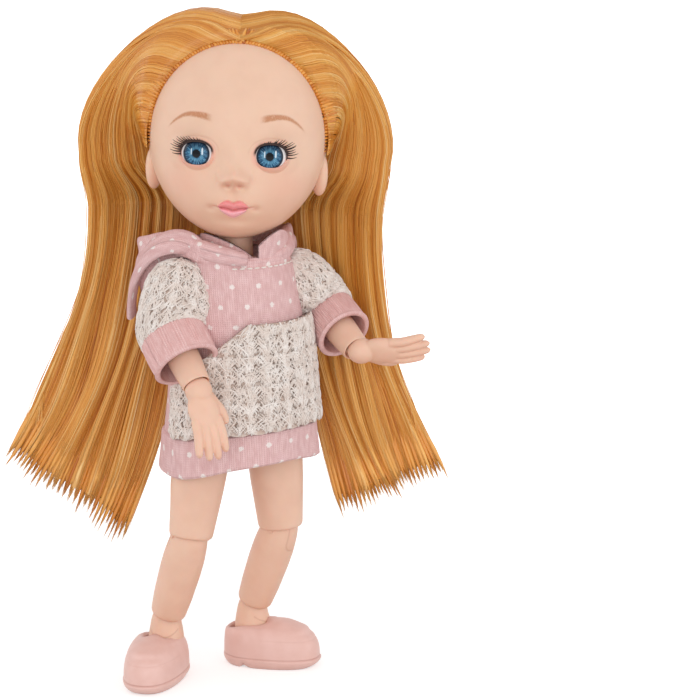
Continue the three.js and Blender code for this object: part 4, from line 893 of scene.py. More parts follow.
def brow_value(x, z):
    """Paint of the arched brows, thick at the inner end."""
    side = np.abs(x)
    top, height = BROW_TOP
    middle = height - np.where(side < top, 0.032, 0.115) * (side - top) ** 2
    half = BROW_THICK * (1 - 0.8 * np.clip((side - 6.5) / 8.8, 0, 1))
    across = rise(half + 0.35, half - 0.25, np.abs(z - middle))
    return across * rise(5.0, 7.4, side) * rise(15.9, 14.4, side)


def soft_spot(x, z, side, height, half_width, half_height):
    """1 at a place of the face and at its mirror image, fading away all round."""
    sideways = np.abs(x) - side if side else x
    return np.exp(-((sideways / half_width) ** 2 + ((z - height) / half_height) ** 2))


def face_points(azimuth, latitude):
    """Points of the modelled head and its paint."""
    x = HEAD_HALF_WIDTH * np.sin(azimuth) * np.cos(latitude)
    ahead = np.cos(azimuth) * np.cos(latitude)
    z = np.sin(latitude)
    z = z * np.where(z < 0, HEAD_DOWN, HEAD_UP)
    x = x * (1 - JAW_NARROW * rise(-6.0, -21.0, z))
    y = -ahead * np.where(ahead > 0, HEAD_FRONT * fullness(z), HEAD_BACK)
    front = rise(0.12, 0.4, ahead)
    upper_lip, lower_lip, push, parting = lip_values(x, z)
    push = push - 0.4 * parting
    for *form, amount in FACE_FORMS:
        push = push + amount * np.sqrt(soft_spot(x, z, *form))
    y = y - push * front
    around = lid_measure(x, z)
    lid = eyeball_depth(x, z) - LID_LIFT
    y = y + rise(2.0, 1.15, around) * front * np.minimum(0, lid - y)
    y = y + 2.6 * rise(1.0, 0.88, around) * front
    above = rise(-0.4, 1.0, z - LID_HEIGHT)
    fold = np.exp(-((around - LID_FOLD) / 0.06) ** 2) * above
    y = y + 0.07 * fold * front
    # Painted shade in the mouth's parting, the lid fold, the nostrils, the nose wings and the mouth corners
    hollows = 0.5 * parting + 0.1 * fold
    for spot, depth in ((NOSTRIL, 0.4), (NOSE_WING, 0.1), (MOUTH_CORNER, 0.3)):
        hollows = hollows + depth * soft_spot(x, z, *spot)
    blush = 0.3 * soft_spot(x, z, *CHEEK) + 0.12 * soft_spot(x, z, *NOSE_TIP)
    paint = {
        "upper_lip": upper_lip * front,
        "lower_lip": lower_lip * front,
        "crease": np.clip(hollows, 0, 1) * front,
        "brow": 0.68 * brow_value(x, z) * front,
        "blush": np.clip(blush, 0, 1) * front,
        "lid": 0.5 * rise(LID_FOLD, 1.0, around) * front,
        "line": rise(1.18, 1.06, around) * rise(0.9, 0.97, around) * above * front,
        "scalp": rise(SCALP_EDGE - 1.0, SCALP_EDGE + 1.0, y) * rise(-20.0, -16.0, z),
    }
    return np.stack([x, y, z], -1), paint


def globe(azimuth, latitude):
    """Points of a unit ball; azimuth 0 looks ahead."""
    level = np.cos(latitude)
    return np.stack([np.sin(azimuth) * level, -np.cos(azimuth) * level, np.sin(latitude)], -1)


def ear_shape(side):
    """Small rounded ear with a hollow and a folded rim."""
    local = globe(*np.meshgrid(circle(72), np.linspace(-1.5, 1.5, 60))) * EAR_HALF
    y, z = local[..., 1], local[..., 2]
    outer = np.where(side * local[..., 0] > 0, 1, 0)
    hollow = np.exp(-((y / 1.7) ** 2 + ((z - 0.6) / 2.9) ** 2))
    inner_ridge = np.exp(-(((y - 0.9) / 0.6) ** 2 + ((z - 1.2) / 2.2) ** 2))
    local[..., 0] -= side * outer * (1.6 * hollow - 0.5 * inner_ridge)
    local[..., 1] *= 1 + 0.1 * z / EAR_HALF[2]
    placed = local @ turn("Z", side * 24).T @ turn("X", 8).T
    placed = placed + np.array(EAR_PLACE) * (side, 1, 1)
    # Blush deepens into the hollow, which also takes painted shade
    return loft(head_world(placed), blush=0.35 * hollow + 0.05, crease=0.3 * hollow ** 3)


def add_head():
    """Face and skull with rows and columns crowded towards the front, and two ears."""
    spread = np.linspace(-1, 1, HEAD_COLUMNS, endpoint=False)
    level = np.linspace(-1, 1, HEAD_ROWS)
    azimuth, latitude = np.meshgrid(np.pi * (0.42 * spread + 0.58 * spread ** 3),
                                    np.pi / 2 * 0.998 * (0.75 * level + 0.25 * level ** 3))
    points, paint = face_points(azimuth, latitude)
    skull = loft(head_world(points), **paint)
    made = add_piece("head_face", joined([skull, ear_shape(-1), ear_shape(1)]), face_look())
    fit(made, "face_vinyl", "head", "head_shell")


def add_eye(name, side, look):
    polar, around = np.meshgrid(np.linspace(0.03, np.pi - 0.03, 70), circle(96), indexing="ij")
    local = np.stack([np.sin(polar) * np.cos(around), -np.cos(polar), np.sin(polar) * np.sin(around)], -1)
    depth = face_depth(EYE_PLACE[0], np.float64(EYE_PLACE[1])) + EYE_INSET
    local = local * EYE_HALF @ turn("Z", side * EYE_TURN).T
    local = local + np.array([side * EYE_PLACE[0], depth, EYE_PLACE[1]])
    offset = local - np.array([side * IRIS_PLACE[0] + IRIS_SHIFT, 0, IRIS_PLACE[1]])
    shape = loft(head_world(local), gaze=offset[..., [0, 2, 1]])
    fit(add_piece(f"{name}_eyeball", shape, look), "eye_gloss", "head", f"{name}_eye")


def lid_edge(side, angles, grow):
    """Points along the opening of an eye, turned to the doll's left; angle 0 is the outer corner."""
    c, s = np.cos(angles), np.sin(angles)
    x = LID_SIDES[side] + grow * LID_HALF[0] * np.sign(c) * np.abs(c) ** (2 / LID_POWER)
    z = LID_HEIGHT + grow * LID_HALF[1] * np.sign(s) * np.abs(s) ** (2 / LID_POWER)
    return np.stack([x, eyeball_depth(x, z) - 0.42, z], -1)


def add_lashes(name, side, look):
    """A dark lid line and curled lashes, long at the outer corner and short towards the nose."""
    source = np.random.default_rng(SEED + side)
    angles = np.radians(np.linspace(-4, 112, LASHES)) + source.normal(0, 0.03, LASHES)
    roots = lid_edge(side, angles, 1.04)
    outer = rise(2.2, 0.5, angles)
    outward = np.stack([0.55 + 0.65 * np.cos(angles), np.full(LASHES, -0.4), 0.6 * np.sin(angles) - 0.2], -1)
    length = mixed(0.5, 2.5, outer) * source.uniform(0.8, 1.1, LASHES)
    share = np.linspace(0, 1, 9)
    reach = roots[:, None] + unit(outward)[:, None] * (length[:, None] * share)[..., None]
    reach[..., 2] += 0.3 * length[:, None] * share ** 2
    lashes = tubes(reach, 0.2 * (1 - 0.8 * share), 6)
    line = lid_edge(side, np.radians(np.linspace(-14, 172, 60)), 1.03)
    line = tubes(line[None], 0.3 * np.sin(np.linspace(0.3, 2.95, 60)) ** 0.7, 8)
    shape = joined([lashes, line])
    shape.points = head_world(shape.points * (side, 1, 1))
    if side < 0:
        shape.faces = [some[:, ::-1] for some in shape.faces]
    fit(add_piece(f"{name}_lashes", shape, look), "eye_gloss", "head")


# Hair
def on_scalp(points, lift):
    """Moves points out to lie at least lift outside the scalp."""
    back = points[..., 1] > 0
    halves = np.stack([np.full(back.shape, HEAD_HALF_WIDTH), np.where(back, HEAD_BACK, HEAD_FRONT),
                       np.where(points[..., 2] > 0, HEAD_UP, HEAD_DOWN)], -1)
    level = np.linalg.norm(points / (halves + lift), axis=-1, keepdims=True)
    return points / np.clip(level, 1e-3, 1)


def hair_root(side, spot, layer):
    """Where a strand leaves the scalp, and which way: the hairline in front, the parting line behind."""
    angle = mixed(HAIRLINE_START, HAIRLINE_END, spot)
    x = -HAIRLINE_HALF[0] * np.sin(angle)
    z = HAIRLINE_LEVEL + HAIRLINE_HALF[1] * np.cos(angle)
    front = np.stack([x, face_depth(x, z), z], -1)
    tilt = np.radians(mixed(-38.0, 62.0, spot))
    y = np.sin(tilt) * np.where(tilt > 0, HEAD_BACK, HEAD_FRONT)
    back = np.stack([np.full(spot.shape, 0.9), y, HEAD_UP * np.cos(tilt)], -1)
    share = ((layer + 1) / 2)[:, None] ** 1.3
    root = mixed(front, back, share)
    deep = np.where(root[:, 1:2] > 0, HEAD_BACK, HEAD_FRONT)
    halves = deep * (0, 1, 0) + (HEAD_HALF_WIDTH, 0, HEAD_UP)
    root = root / np.linalg.norm(root / halves, axis=-1, keepdims=True)
    backward = 0.3 - 0.35 * np.sin(angle) + 0.8 * rise(1.15, 1.7, angle)
    leave_front = np.stack([-0.3 - 0.75 * np.sin(angle), backward, 0.95 * np.cos(angle)], -1)
    leave_back = np.stack([np.full(spot.shape, -0.75), 0.25 + 0.4 * spot, 0.8 - 0.6 * spot], -1)
    return root * (-side, 1, 1), unit(mixed(leave_front, leave_back, share)) * (-side, 1, 1)


def hair_level(side, spot, layer):
    """Where a strand passes the level of the ears."""
    level = np.full(spot.shape, HAIR_LEVEL)
    front = np.stack([mixed(-36.8, -18.2, spot), mixed(2.5, 12.0, spot), level], -1)
    sweep = np.radians(76) * spot
    back = np.stack([-37.2 * np.cos(sweep), 6 + 22.5 * np.sin(sweep), level], -1)
    return mixed(front, back, ((layer + 1) / 2)[:, None]) * (-side * HAIR_LEVEL_WIDTH[side], 1, 1)


def hair_fall(band, across, layer, down):
    """Places along a hanging length, from its root at 0 to its tips at 1."""
    inner = bezier(*(np.array(point) for point in band["inner"]), down)
    outer = bezier(*(np.array(point) for point in band["outer"]), down)
    points = mixed(inner, outer, across[..., None])
    thick = band["half_depth"] * (1 - HAIR_TIP_THINNING * down ** 3)
    lens = np.sqrt(np.clip(1 - (2 * across - 1) ** 2, 0, 1))
    points[..., 1] += band["bow"] * (1 - down) ** 2 * np.sin(np.pi * across)
    points[..., 1] += layer[:, None] * thick * lens
    return points


def lock_relief(spot):
    """Gentle swell of the broad locks across a length of hair."""
    return np.sin(TURN * (6.5 * spot + 0.35 * np.sin(TURN * 1.7 * spot)))


def hair_strands(band, spot, layer, reach, gather):
    """Whole paths of the strands of one side; the hanging part starts at HAIR_SPLIT."""
    side = band["side"]
    count = len(spot)
    root, leave = hair_root(side, spot, layer)
    level = hair_level(side, spot, layer)
    chord = np.linalg.norm(level - root, axis=1, keepdims=True)
    drop = unit(np.array([[0.0, 0.1, -1.0]]))
    share = np.tile(np.linspace(0, 1, CROWN_STEPS), (count, 1))
    upper = on_scalp(hermite(root, leave * chord * 0.95, level, drop * chord * 0.95, share), HAIR_LIFT)
    puff = np.sin(np.pi * share ** 0.62) * (1 - spot[:, None])
    upper[..., 0] += side * CROWN_PUFF[side] * puff
    upper[..., 2] += 0.7 * puff
    down = np.linspace(0, 1, FALL_STEPS)[None] * reach[:, None]
    across = 1 - mixed(spot[:, None], gather[:, None], 0.4 * rise(0.72, 1.0, down))
    lower = hair_fall(band, across, layer * (1 + 0.14 * lock_relief(spot)), down)
    sway = TURN * (1.3 * down + 1.5 * spot[:, None])
    lower[..., 0] += 0.9 * np.sin(sway) * down
    lower[..., 1] += 0.5 * np.cos(sway) * down
    gap = np.linalg.norm(lower[:, 0] - upper[:, -1], axis=1, keepdims=True)
    bridge = hermite(upper[:, -1], drop * gap, lower[:, 0], unit(lower[:, 1] - lower[:, 0]) * gap,
                     np.tile(np.linspace(0, 1, BRIDGE_STEPS), (count, 1)))
    return np.concatenate([upper, bridge[:, 1:], lower[:, 1:]], 1)


def tuft_reach(spot, seed):
    """How far down a length reaches at each place across it: its end is cut in pointed tufts."""
    tall = np.random.default_rng(seed + 1).uniform(0.35, 1.0, TUFTS + 1)
    place = spot * TUFTS
    return TUFT_START + TUFT_HEIGHT * tall[np.floor(place).astype(int)] * (1 - np.abs(2 * (place % 1) - 1))


def strand_tones(source, spot, base, lock_shading, chance):
    """A tone per strand, varied by chance: lighter on the swelling locks and darker between them, as painted
    light and shade.
    """
    return np.clip(base + lock_shading * lock_relief(spot) + source.normal(0, chance, len(spot)), 0, 1)


def taper(steps, grow_in, fade_out):
    """Thin ends of a strand, as shares of its thickness."""
    place = np.arange(steps)
    start = np.clip((place + 0.4) / grow_in, 0.12, 1) if grow_in else np.ones(steps)
    end = np.clip((steps - 1 - place + 0.25) / fade_out, 0.1, 1)
    return start * end


def split_strands(paths, tone, source):
    """Crown part and hanging part of whole strands."""
    thin = source.uniform(*STRAND_RADII, len(paths))[:, None]
    top = paths[:, :HAIR_SPLIT + 2]
    fall = paths[:, HAIR_SPLIT - 3:]
    return (tubes(top, thin * taper(top.shape[1], 0, 2), tone=tone),
            tubes(fall, thin * taper(fall.shape[1], 4, 6), tone=tone))


def hair_body(paths, spot, seed, pale=0.0):
    """Combed closed body under the loose strands, from paths that run round its edge, in painted shade all
    over and lighter on its locks than between them.
    """
    source = np.random.default_rng(seed)
    rings = np.swapaxes(paths, 0, 1)[::-1]
    middle = rings.mean(1, keepdims=True)
    groove = source.normal(0, 0.1, len(spot))
    rings = middle + (rings - middle) * 0.985 + unit(rings - middle) * groove[None, :, None]
    steps = np.linspace(1, 0, len(rings))[:, None]
    # Lighter on the swelling locks and darker between them, as painted light and shade
    tone = 0.5 + 0.12 * lock_relief(spot) + source.normal(0, 0.07, len(spot))
    comb = np.stack(np.broadcast_arrays(120 * spot[None], 3 * steps, 0 * steps), -1)
    # The whole body is pulled towards the dark hair colour by a painted shade of 0.12
    return loft(rings, tone=tone[None] + pale * rise(0.55, 1.0, steps), shade=0.12, comb=comb)


def split_body(paths, spot, seed, pale):
    """Bodies of the crown part and of the hanging part."""
    top = hair_body(paths[:, :HAIR_SPLIT + 1], spot, seed)
    return top, hair_body(paths[:, HAIR_SPLIT:], spot, seed, pale)


def hair_tips(band, source):
    """Pointed tufts at the end of one side, with short fine ends over them."""
    seed = band["seed"]
    steps = len(TUFT_PROFILE)
    layers = np.linspace(-0.9, 0.9, 5)
    middle = np.repeat((np.arange(TUFTS) + 0.5) / TUFTS, len(layers))
    spot = np.clip(middle + source.normal(0, 0.25 / TUFTS, len(middle)), 0, 1)
    paths = hair_strands(band, spot, np.tile(layers, TUFTS), tuft_reach(spot, seed), spot)[:, -steps:]
    tone = strand_tones(source, spot, 0.44, 0.15, 0.08)
    cones = tubes(paths, TUFT_RADIUS * np.array([TUFT_PROFILE]), 8, tone=tone)
    spot = source.uniform(0, 1, FINE_ENDS)
    layer = source.uniform(-1, 1, FINE_ENDS)
    reach = tuft_reach(spot, seed) + source.normal(0.004, 0.01, FINE_ENDS)
    gather = (np.floor(spot * TUFTS) + 0.5) / TUFTS
    paths = hair_strands(band, spot, layer, reach, gather)[:, -steps:]
    tone = strand_tones(source, spot, 0.54, 0.12, 0.12)
    fine = tubes(paths, source.uniform(0.08, 0.14, FINE_ENDS)[:, None] * taper(steps, 2, 4), tone=tone)
    return joined([cones, fine])


def side_hair(band):
    """Crown part and hanging part of one side."""
    count, clumps, seed = band["strands"], band["clumps"], band["seed"]
    source = np.random.default_rng(seed)
    spot = source.uniform(0, 1, count)
    layer = np.where(source.uniform(0, 1, count) < 0.62, -1.0, 1.0) * source.uniform(0.93, 1.07, count)
    gather = (np.floor(spot * clumps) + 0.5) / clumps
    reach = tuft_reach(spot, seed) + source.uniform(-0.02, 0.012, count)
    top_edge = count // 7
    spot[:top_edge] *= 0.06
    layer[:top_edge] = source.uniform(-1, 1, top_edge)
    paths = hair_strands(band, spot, np.clip(layer, -1, 1), reach, gather)
    along = np.linspace(0, 1, paths.shape[1])[None, :, None]
    wave = np.sin(along * source.uniform(3, 8, (count, 1, 1)) + source.uniform(0, 6, (count, 1, 1)))
    loose = np.where(np.arange(count) % STRAY_EVERY == 0, 3.5, 1.0)[:, None, None]
    stray = source.normal(0, 0.5, (count, 1, 3)) * loose * (1.0, 0.5, 0.4)
    paths = paths + stray * (wave * along * (1.3 - along))
    tone = strand_tones(source, spot, 0.48, 0.15, 0.14)
    top, fall = split_strands(paths, tone, source)
    tips = hair_tips(band, source)
    way = -band["side"]
    edge_spot, edge_layer = (0.5 - 0.5 * np.cos(circle(HAIR_EDGE)))[::way], np.sin(circle(HAIR_EDGE))[::way]
    ragged = source.uniform(0.915, 0.935, HAIR_EDGE)
    edge = hair_strands(band, edge_spot, edge_layer, ragged, edge_spot)
    top_body, fall_body = split_body(edge, edge_spot, seed, 0.14)
    return joined([top, top_body]), joined([fall, tips, fall_body])


def root_plugs(side, seed):
    """Short ridged plugs where the front strands leave the scalp."""
    source = np.random.default_rng(seed)
    spot = np.linspace(0.03, 0.98, ROOT_PLUGS)
    root, leave = hair_root(side, spot, np.full(ROOT_PLUGS, -1.0))
    share = np.linspace(0, 1, 8)
    length = mixed(1.4, 4.0, rise(1.0, 0.75, spot))[:, None, None] * share[None, :, None]
    paths = (root - leave * 0.5)[:, None] + leave[:, None] * length
    paths = paths + np.array([0, 1.0, 0]) * (share ** 2 * 0.8)[None, :, None]
    swell = 0.47 * np.sin(np.linspace(0.6, 3.0, 8)) ** 0.6
    swell = swell * mixed(0.35, 1.0, rise(1.0, 0.8, spot))[:, None]
    return tubes(on_scalp(paths, 0.15), swell, 7, tone=strand_tones(source, spot, 0.3, 0, 0.12))


def back_strands(spot, layer, tilt, reach):
    """Whole paths of the strands behind, which leave the parting at a tilt from upright."""
    across = (spot + 1) / 2
    count = len(spot)
    root = np.stack([spot * 2.5, HEAD_BACK * np.sin(tilt), HEAD_UP * np.cos(tilt)], -1)
    leave = unit(np.stack([spot * 0.7, np.full(count, 0.8), np.full(count, 0.05)], -1))
    down = np.linspace(0, 1, BACK_FALL_STEPS)[None] * reach[:, None]
    depth = layer * (1 + 0.12 * lock_relief(across))
    lower = hair_fall(BACK_HAIR, np.tile(across[:, None], (1, BACK_FALL_STEPS)), depth, down)
    gap = np.linalg.norm(lower[:, 0] - root, axis=1, keepdims=True)
    upper = hermite(root, leave * gap * 0.8, lower[:, 0], unit(lower[:, 1] - lower[:, 0]) * gap,
                    np.tile(np.linspace(0, 1, HAIR_SPLIT + 1), (count, 1)))
    return np.concatenate([on_scalp(upper, HAIR_LIFT), lower[:, 1:]], 1)


def back_hair():
    """Crown part and hanging part of the hair behind."""
    count, seed = BACK_HAIR["strands"], BACK_HAIR["seed"]
    source = np.random.default_rng(seed)
    spot = source.uniform(-1, 1, count)
    layer = np.where(source.uniform(0, 1, count) < 0.75, 1.0, -1.0) * source.uniform(0.95, 1.05, count)
    tilt = np.radians(source.uniform(42, 60, count))
    paths = back_strands(spot, layer, tilt, source.uniform(0.94, 1.03, count))
    top, fall = split_strands(paths, strand_tones(source, spot, 0.46, 0, 0.1), source)
    angle = circle(BACK_EDGE)
    edge_spot, edge_layer = -np.cos(angle), -np.sin(angle)
    edge = back_strands(edge_spot, edge_layer, np.radians(52 - 10 * edge_layer), np.full(BACK_EDGE, 0.95))
    top_body, fall_body = split_body(edge, edge_spot, seed, 0.0)
    return joined([top, top_body]), joined([fall, fall_body])


def add_hair():
    look = hair_look()
    right_top, right_fall = side_hair(RIGHT_HAIR)
    left_top, left_fall = side_hair(LEFT_HAIR)
    back_top, back_fall = back_hair()
    pieces = (("hair_crown_right", joined([right_top, root_plugs(-1, SEED)]), ["hair_cap"], "crown"),
              ("hair_crown_left", joined([left_top, root_plugs(1, SEED + 2)]), [], "crown"),
              ("hair_crown_back", back_top, [], "crown"),
              ("hair_right", right_fall, ["hair_right_length"], "length"),
              ("hair_left", left_fall, ["hair_left_length"], "length"),
              ("hair_back", back_fall, ["hair_back_length"], "length"))
    neck = PLACES["neck_nod"] * (1, 1, 0)
    for name, shape, nodes, part in pieces:
        shape.points = head_world(shape.points)
        made = add_piece(name, shape, look)
        fit(made, "hair_fibre", None, *nodes)
        upper, lower, top, base = HAIR_HINGES[part]
        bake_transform(made, upper, lower, tuple((neck + UP * top) * MM), tuple((neck + UP * base) * MM))


# Dress
def torso_world(points):
    return points + TORSO_PLACE


def section(height, which):
    """Half width or half depth of the dress, eased between its sections."""
    total = 0
    for offset in (-1.6, -0.8, 0, 0.8, 1.6):
        total = total + np.interp(height + offset, DRESS_SECTIONS[:, 0], DRESS_SECTIONS[:, which])
    return total / 5


def dress_points(angle, height, grow):
    """Dress surface; the angle runs from the front towards the doll's left."""
    hang = np.clip((HANG_TOP - height) / HANG_LENGTH, 0, 1)
    fold = grow + FOLD_DEPTH * hang * np.cos(FOLD_COUNT * angle)
    x = (section(height, 1) + fold) * np.sin(angle)
    y = -(section(height, 2) + fold) * np.cos(angle)
    droop = HEM_DROOP * hang ** 2 * np.sin(angle) ** 2
    return np.stack([x, y, height + HEM_SLANT * hang * x - droop], -1)


def weave_values(angle, height):
    """Cloth coordinates in millimetres, round and up."""
    round_way = angle * 0.5 * (section(height, 1) + section(height, 2))
    return np.stack([round_way, height, np.zeros_like(height)], -1)


def cloth_grid(angles, heights, size, grow, wrinkle, seed, around=False):
    """Outer points of a panel of the dress and their cloth coordinates; its size is columns and rows."""
    columns = np.radians(np.linspace(*angles, size[0], endpoint=not around))
    angle, height = np.meshgrid(columns, np.linspace(*heights, size[1]))
    points = dress_points(angle, height, grow)
    out = grid_normals(points, around)
    points = points + out * (wrinkle * ripple(points, 13.0, seed))[..., None]
    return points, weave_values(angle, height)


def add_sheet(name, shape, look, nodes, slot, flat):
    """Cloth of the dress; flat holds its flat size in millimetres and the share that the cut leaves."""
    size, share = flat
    shape.points = torso_world(shape.points)
    made = add_piece(name, shape, look, shape.normals)
    fit(made, slot, None, *nodes)
    area = share * size[0] * size[1] * MM ** 2
    tuple(way * MM for way in size)
    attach(made, "torso")
    return made


def flatten_with_leg(made):
    anchor = torso_world(np.array([0, 0, SKIRT_TOP])) * MM
    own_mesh(made)


def add_bodice(look):
    points, weave = cloth_grid((-180, 180), (SKIRT_TOP, YOKE_TOP), (360, 170), 0, 0.22, 21, True)
    lip = rise(YOKE_TOP - 1.6, YOKE_TOP, weave[..., 1:2])
    points = points + grid_normals(points, True) * 0.35 * np.sin(np.pi * lip)
    shape = sheet(points, CLOTH, True, weave=weave)
    add_sheet("dress_bodice_cloth", shape, look, ["dress_bodice"], "pink_knit", BODICE_FLAT)


def add_skirt(look):
    """Skirt and hem band, each a right and a left half."""
    share = np.linspace(0, 1, 60)[:, None, None]
    edge = np.minimum(rise(0, 0.06, share), rise(1, 0.92, share))
    for name, start, skirt_nodes, hem_nodes in (("right", -180, ["dress_skirt"], ["dress_hem_band"]),
                                                ("left", 0, [], [])):
        angles = (start, start + 180)
        points, weave = cloth_grid(angles, (HEM_TOP - 0.6, SKIRT_TOP), (170, 34), 0, 0.15, 22)
        shape = sheet(points, CLOTH, False, weave=weave)
        made = add_sheet(f"dress_skirt_{name}", shape, look, skirt_nodes, "pink_knit", SKIRT_FLAT)
        flatten_with_leg(made)
        smooth, weave = cloth_grid(angles, (HEM_BASE, HEM_TOP), (260, 60), 0, 0.2, 23)
        swell = 0.75 * edge + 0.1 * ripple(smooth, 7.0, 24)[..., None]
        shape = sheet(smooth + grid_normals(smooth, False) * swell, 1.0, False, smooth, weave=weave)
        made = add_sheet(f"dress_hem_{name}", shape, look, hem_nodes, "pink_knit", HEM_FLAT)
        flatten_with_leg(made)


def pocket_edges(height):
    """Angles of the two sides of the pocket panel."""
    over = np.clip((height - POCKET_SHOULDER) / (POCKET_TOP - POCKET_SHOULDER), 0, 1)
    return mixed(-POCKET_SIDE, POCKET_TOP_RIGHT, over), mixed(POCKET_SIDE, POCKET_TOP_LEFT, over)


def pocket_grid(heights, size, shares):
    """Part of the pocket panel, hollowed between its lace fans; shares are those of its width."""
    rows, columns = size
    height = np.linspace(*heights, rows)[:, None] + np.zeros((1, columns))
    right, left = pocket_edges(height)
    degrees = mixed(right, left, np.linspace(*shares, columns)[None])
    angle = np.radians(degrees)
    scallop = 0.5 * np.abs(np.sin(angle * 13)) * rise(3.0, 0.0, height - POCKET_BASE)
    points = dress_points(angle, height - scallop, POCKET_GAP + POCKET_THICK)
    across = ((degrees + POCKET_SIDE) / (2 * POCKET_SIDE) * LACE_CELLS[0]) % 1 - 0.5
    up = ((height - POCKET_BASE) / (POCKET_TOP - POCKET_BASE) * LACE_CELLS[1]) % 1
    hole = np.exp(-(((np.abs(across) - 0.43) / 0.13) ** 2 + ((up - 0.6) / 0.3) ** 2))
    hole = hole + np.exp(-((across / 0.12) ** 2 + ((up - 0.12) / 0.12) ** 2))
    lumps = 0.45 * np.cos(np.pi * across) ** 2 - 0.35 * hole + 0.1 * ripple(points, 4, 31)
    # Painted shade in the lace holes, over a little random tone
    shade = np.clip(0.1 + 0.9 * hole + 0.2 * ripple(points, 2.2, 32), 0, 1)
    lumpy = points + grid_normals(points, False) * lumps[..., None]
    return sheet(lumpy, POCKET_THICK, False, points, weave=weave_values(angle, height), shade=shade)


def lace_curves(across, up, seed):
    """Paths of the lace yarn counted in cells: a fan of stitches in each, crossed by bent loops."""
    source = np.random.default_rng(seed)
    steps = np.linspace(0, 1, LACE_STEPS)
    fans = [np.stack([end * (0.3 * steps + 0.7 * steps ** 2), 0.02 + (1.04 - 0.3 * end ** 2) * steps], -1)
            for end in np.linspace(-0.6, 0.6, 8)]
    sweep = np.radians(np.linspace(-66, 66, LACE_STEPS))
    loops = [np.stack([0.62 * far * np.sin(sweep), far * np.cos(sweep)], -1) for far in (0.34, 0.6, 0.86)]
    cell = np.array(fans + loops)
    column, row = np.meshgrid(np.arange(across), np.arange(up))
    corner = np.stack([column.ravel() + 0.5, row.ravel()], -1)
    paths = cell[None] + corner[:, None, None]
    paths = paths + source.normal(0, 0.06, (len(corner), len(cell), 1, 2))
    paths = paths + source.normal(0, 0.02, paths.shape)
    return paths.reshape(-1, LACE_STEPS, 2)


def lace_lift(count, seed):
    """Heights of yarn paths over the cloth."""
    source = np.random.default_rng(seed)
    arch = np.sin(np.linspace(0.3, 2.9, LACE_STEPS))[None]
    return 0.15 + 0.45 * arch * source.uniform(0.3, 1.1, (count, 1))


def lace_tubes(paths, thickness, seed):
    source = np.random.default_rng(seed)
    count = len(paths)
    tone = np.clip(source.normal(0.2, 0.16, count), 0, 1)
    return tubes(paths, thickness * source.uniform(0.8, 1.2, count)[:, None], 4, shade=tone)


def pocket_lace(seed, finer):
    """Yarn over the whole pocket, with the middle angle and height of each path."""
    curves = lace_curves(round(LACE_CELLS[0] * finer), round(LACE_CELLS[1] * finer), seed) / finer
    degrees = curves[..., 0] / LACE_CELLS[0] * 2 * POCKET_SIDE - POCKET_SIDE
    height = POCKET_BASE + curves[..., 1] / LACE_CELLS[1] * (POCKET_TOP - POCKET_BASE)
    right, left = pocket_edges(height)
    inside = ((degrees > right) & (degrees < left) & (height < POCKET_TOP + 0.4)).all(1)
    degrees, height = degrees[inside], height[inside]
    lift = POCKET_GAP + POCKET_THICK + 0.25 + lace_lift(len(degrees), seed)
    return dress_points(np.radians(degrees), height, lift), degrees.mean(1), height.mean(1)


def grid_lace(points, across, up, thickness, seed):
    """Yarn laid over a grid of points."""
    rows, columns = points.shape[:2]
    curves = lace_curves(across, up, seed)
    c = np.clip(curves[..., 0] / across, 0, 0.9999) * (columns - 1)
    r = np.clip(curves[..., 1] / up, 0, 0.9999) * (rows - 1)
    c0, r0 = c.astype(int), r.astype(int)
    normals = grid_normals(points, False)

    def sampled(grid):
        low = mixed(grid[r0, c0], grid[r0, c0 + 1], (c - c0)[..., None])
        high = mixed(grid[r0 + 1, c0], grid[r0 + 1, c0 + 1], (c - c0)[..., None])
        return mixed(low, high, (r - r0)[..., None])

    paths = sampled(points) + sampled(normals) * lace_lift(len(curves), seed)[..., None]
    return lace_tubes(paths, thickness, seed)


def add_pocket(look, yarn_look):
    """Cream panel: its upper part and its two lower halves all stay on the torso."""
    layers = [(pocket_lace(SEED + layer, finer), thickness)
              for layer, (finer, thickness) in enumerate(POCKET_YARN)]
    for index, (name, (heights, size, shares, flat)) in enumerate(POCKET_PARTS.items()):
        nodes = ["dress_pocket"] if name == "top" else []
        shape = pocket_grid(heights, size, shares)
        made = add_sheet(f"pocket_{name}", shape, look, nodes, "cream_knit", flat)
        laces = []
        for (paths, degrees, height), thickness in layers:
            above = height > SKIRT_TOP
            chosen = above if name == "top" else ~above & ((degrees < 0) == (name == "right"))
            laces.append(lace_tubes(paths[chosen], thickness, SEED + index))
        lace = joined(laces)
        lace.points = torso_world(lace.points)
        yarn = add_piece(f"pocket_yarn_{name}", lace, yarn_look)
        fit(yarn, "cream_knit", "torso")
        if name != "top":
            flatten_with_leg(made)
            flatten_with_leg(yarn)


def add_stitches(look):
    """Row of short white stitches across the front of the yoke."""
    angles = np.linspace(*STITCH_ENDS, STITCHES)[:, None] + STITCH_WIDTH * np.linspace(-0.5, 0.5, 6)[None]
    paths = torso_world(dress_points(np.radians(angles), np.full(angles.shape, STITCH_HEIGHT), 0.3))
    shape = tubes(paths, 0.22 * np.sin(np.linspace(0.4, 2.75, 6)) ** 0.5, 6, shade=np.zeros(STITCHES))
    fit(add_piece("yoke_stitches", shape, look), "cream_knit", "torso")


def hood_ring():
    """Places and half sizes of the hood roll, eased round its stations."""
    place = np.arange(HOOD_ROWS) / HOOD_ROWS * len(HOOD_STATIONS)
    first = np.floor(place).astype(int)
    t = (place - first)[:, None]
    p = [HOOD_STATIONS[(first + step) % len(HOOD_STATIONS)] for step in (-1, 0, 1, 2)]
    return 0.5 * (2 * p[1] + (p[2] - p[0]) * t + (2 * p[0] - 5 * p[1] + 4 * p[2] - p[3]) * t ** 2
                  + (3 * p[1] - p[0] - 3 * p[2] + p[3]) * t ** 3)


def cloth_values(across, up):
    """Cloth coordinates from the millimetres across and up."""
    return np.stack(np.broadcast_arrays(across, up, 0 * up), -1)


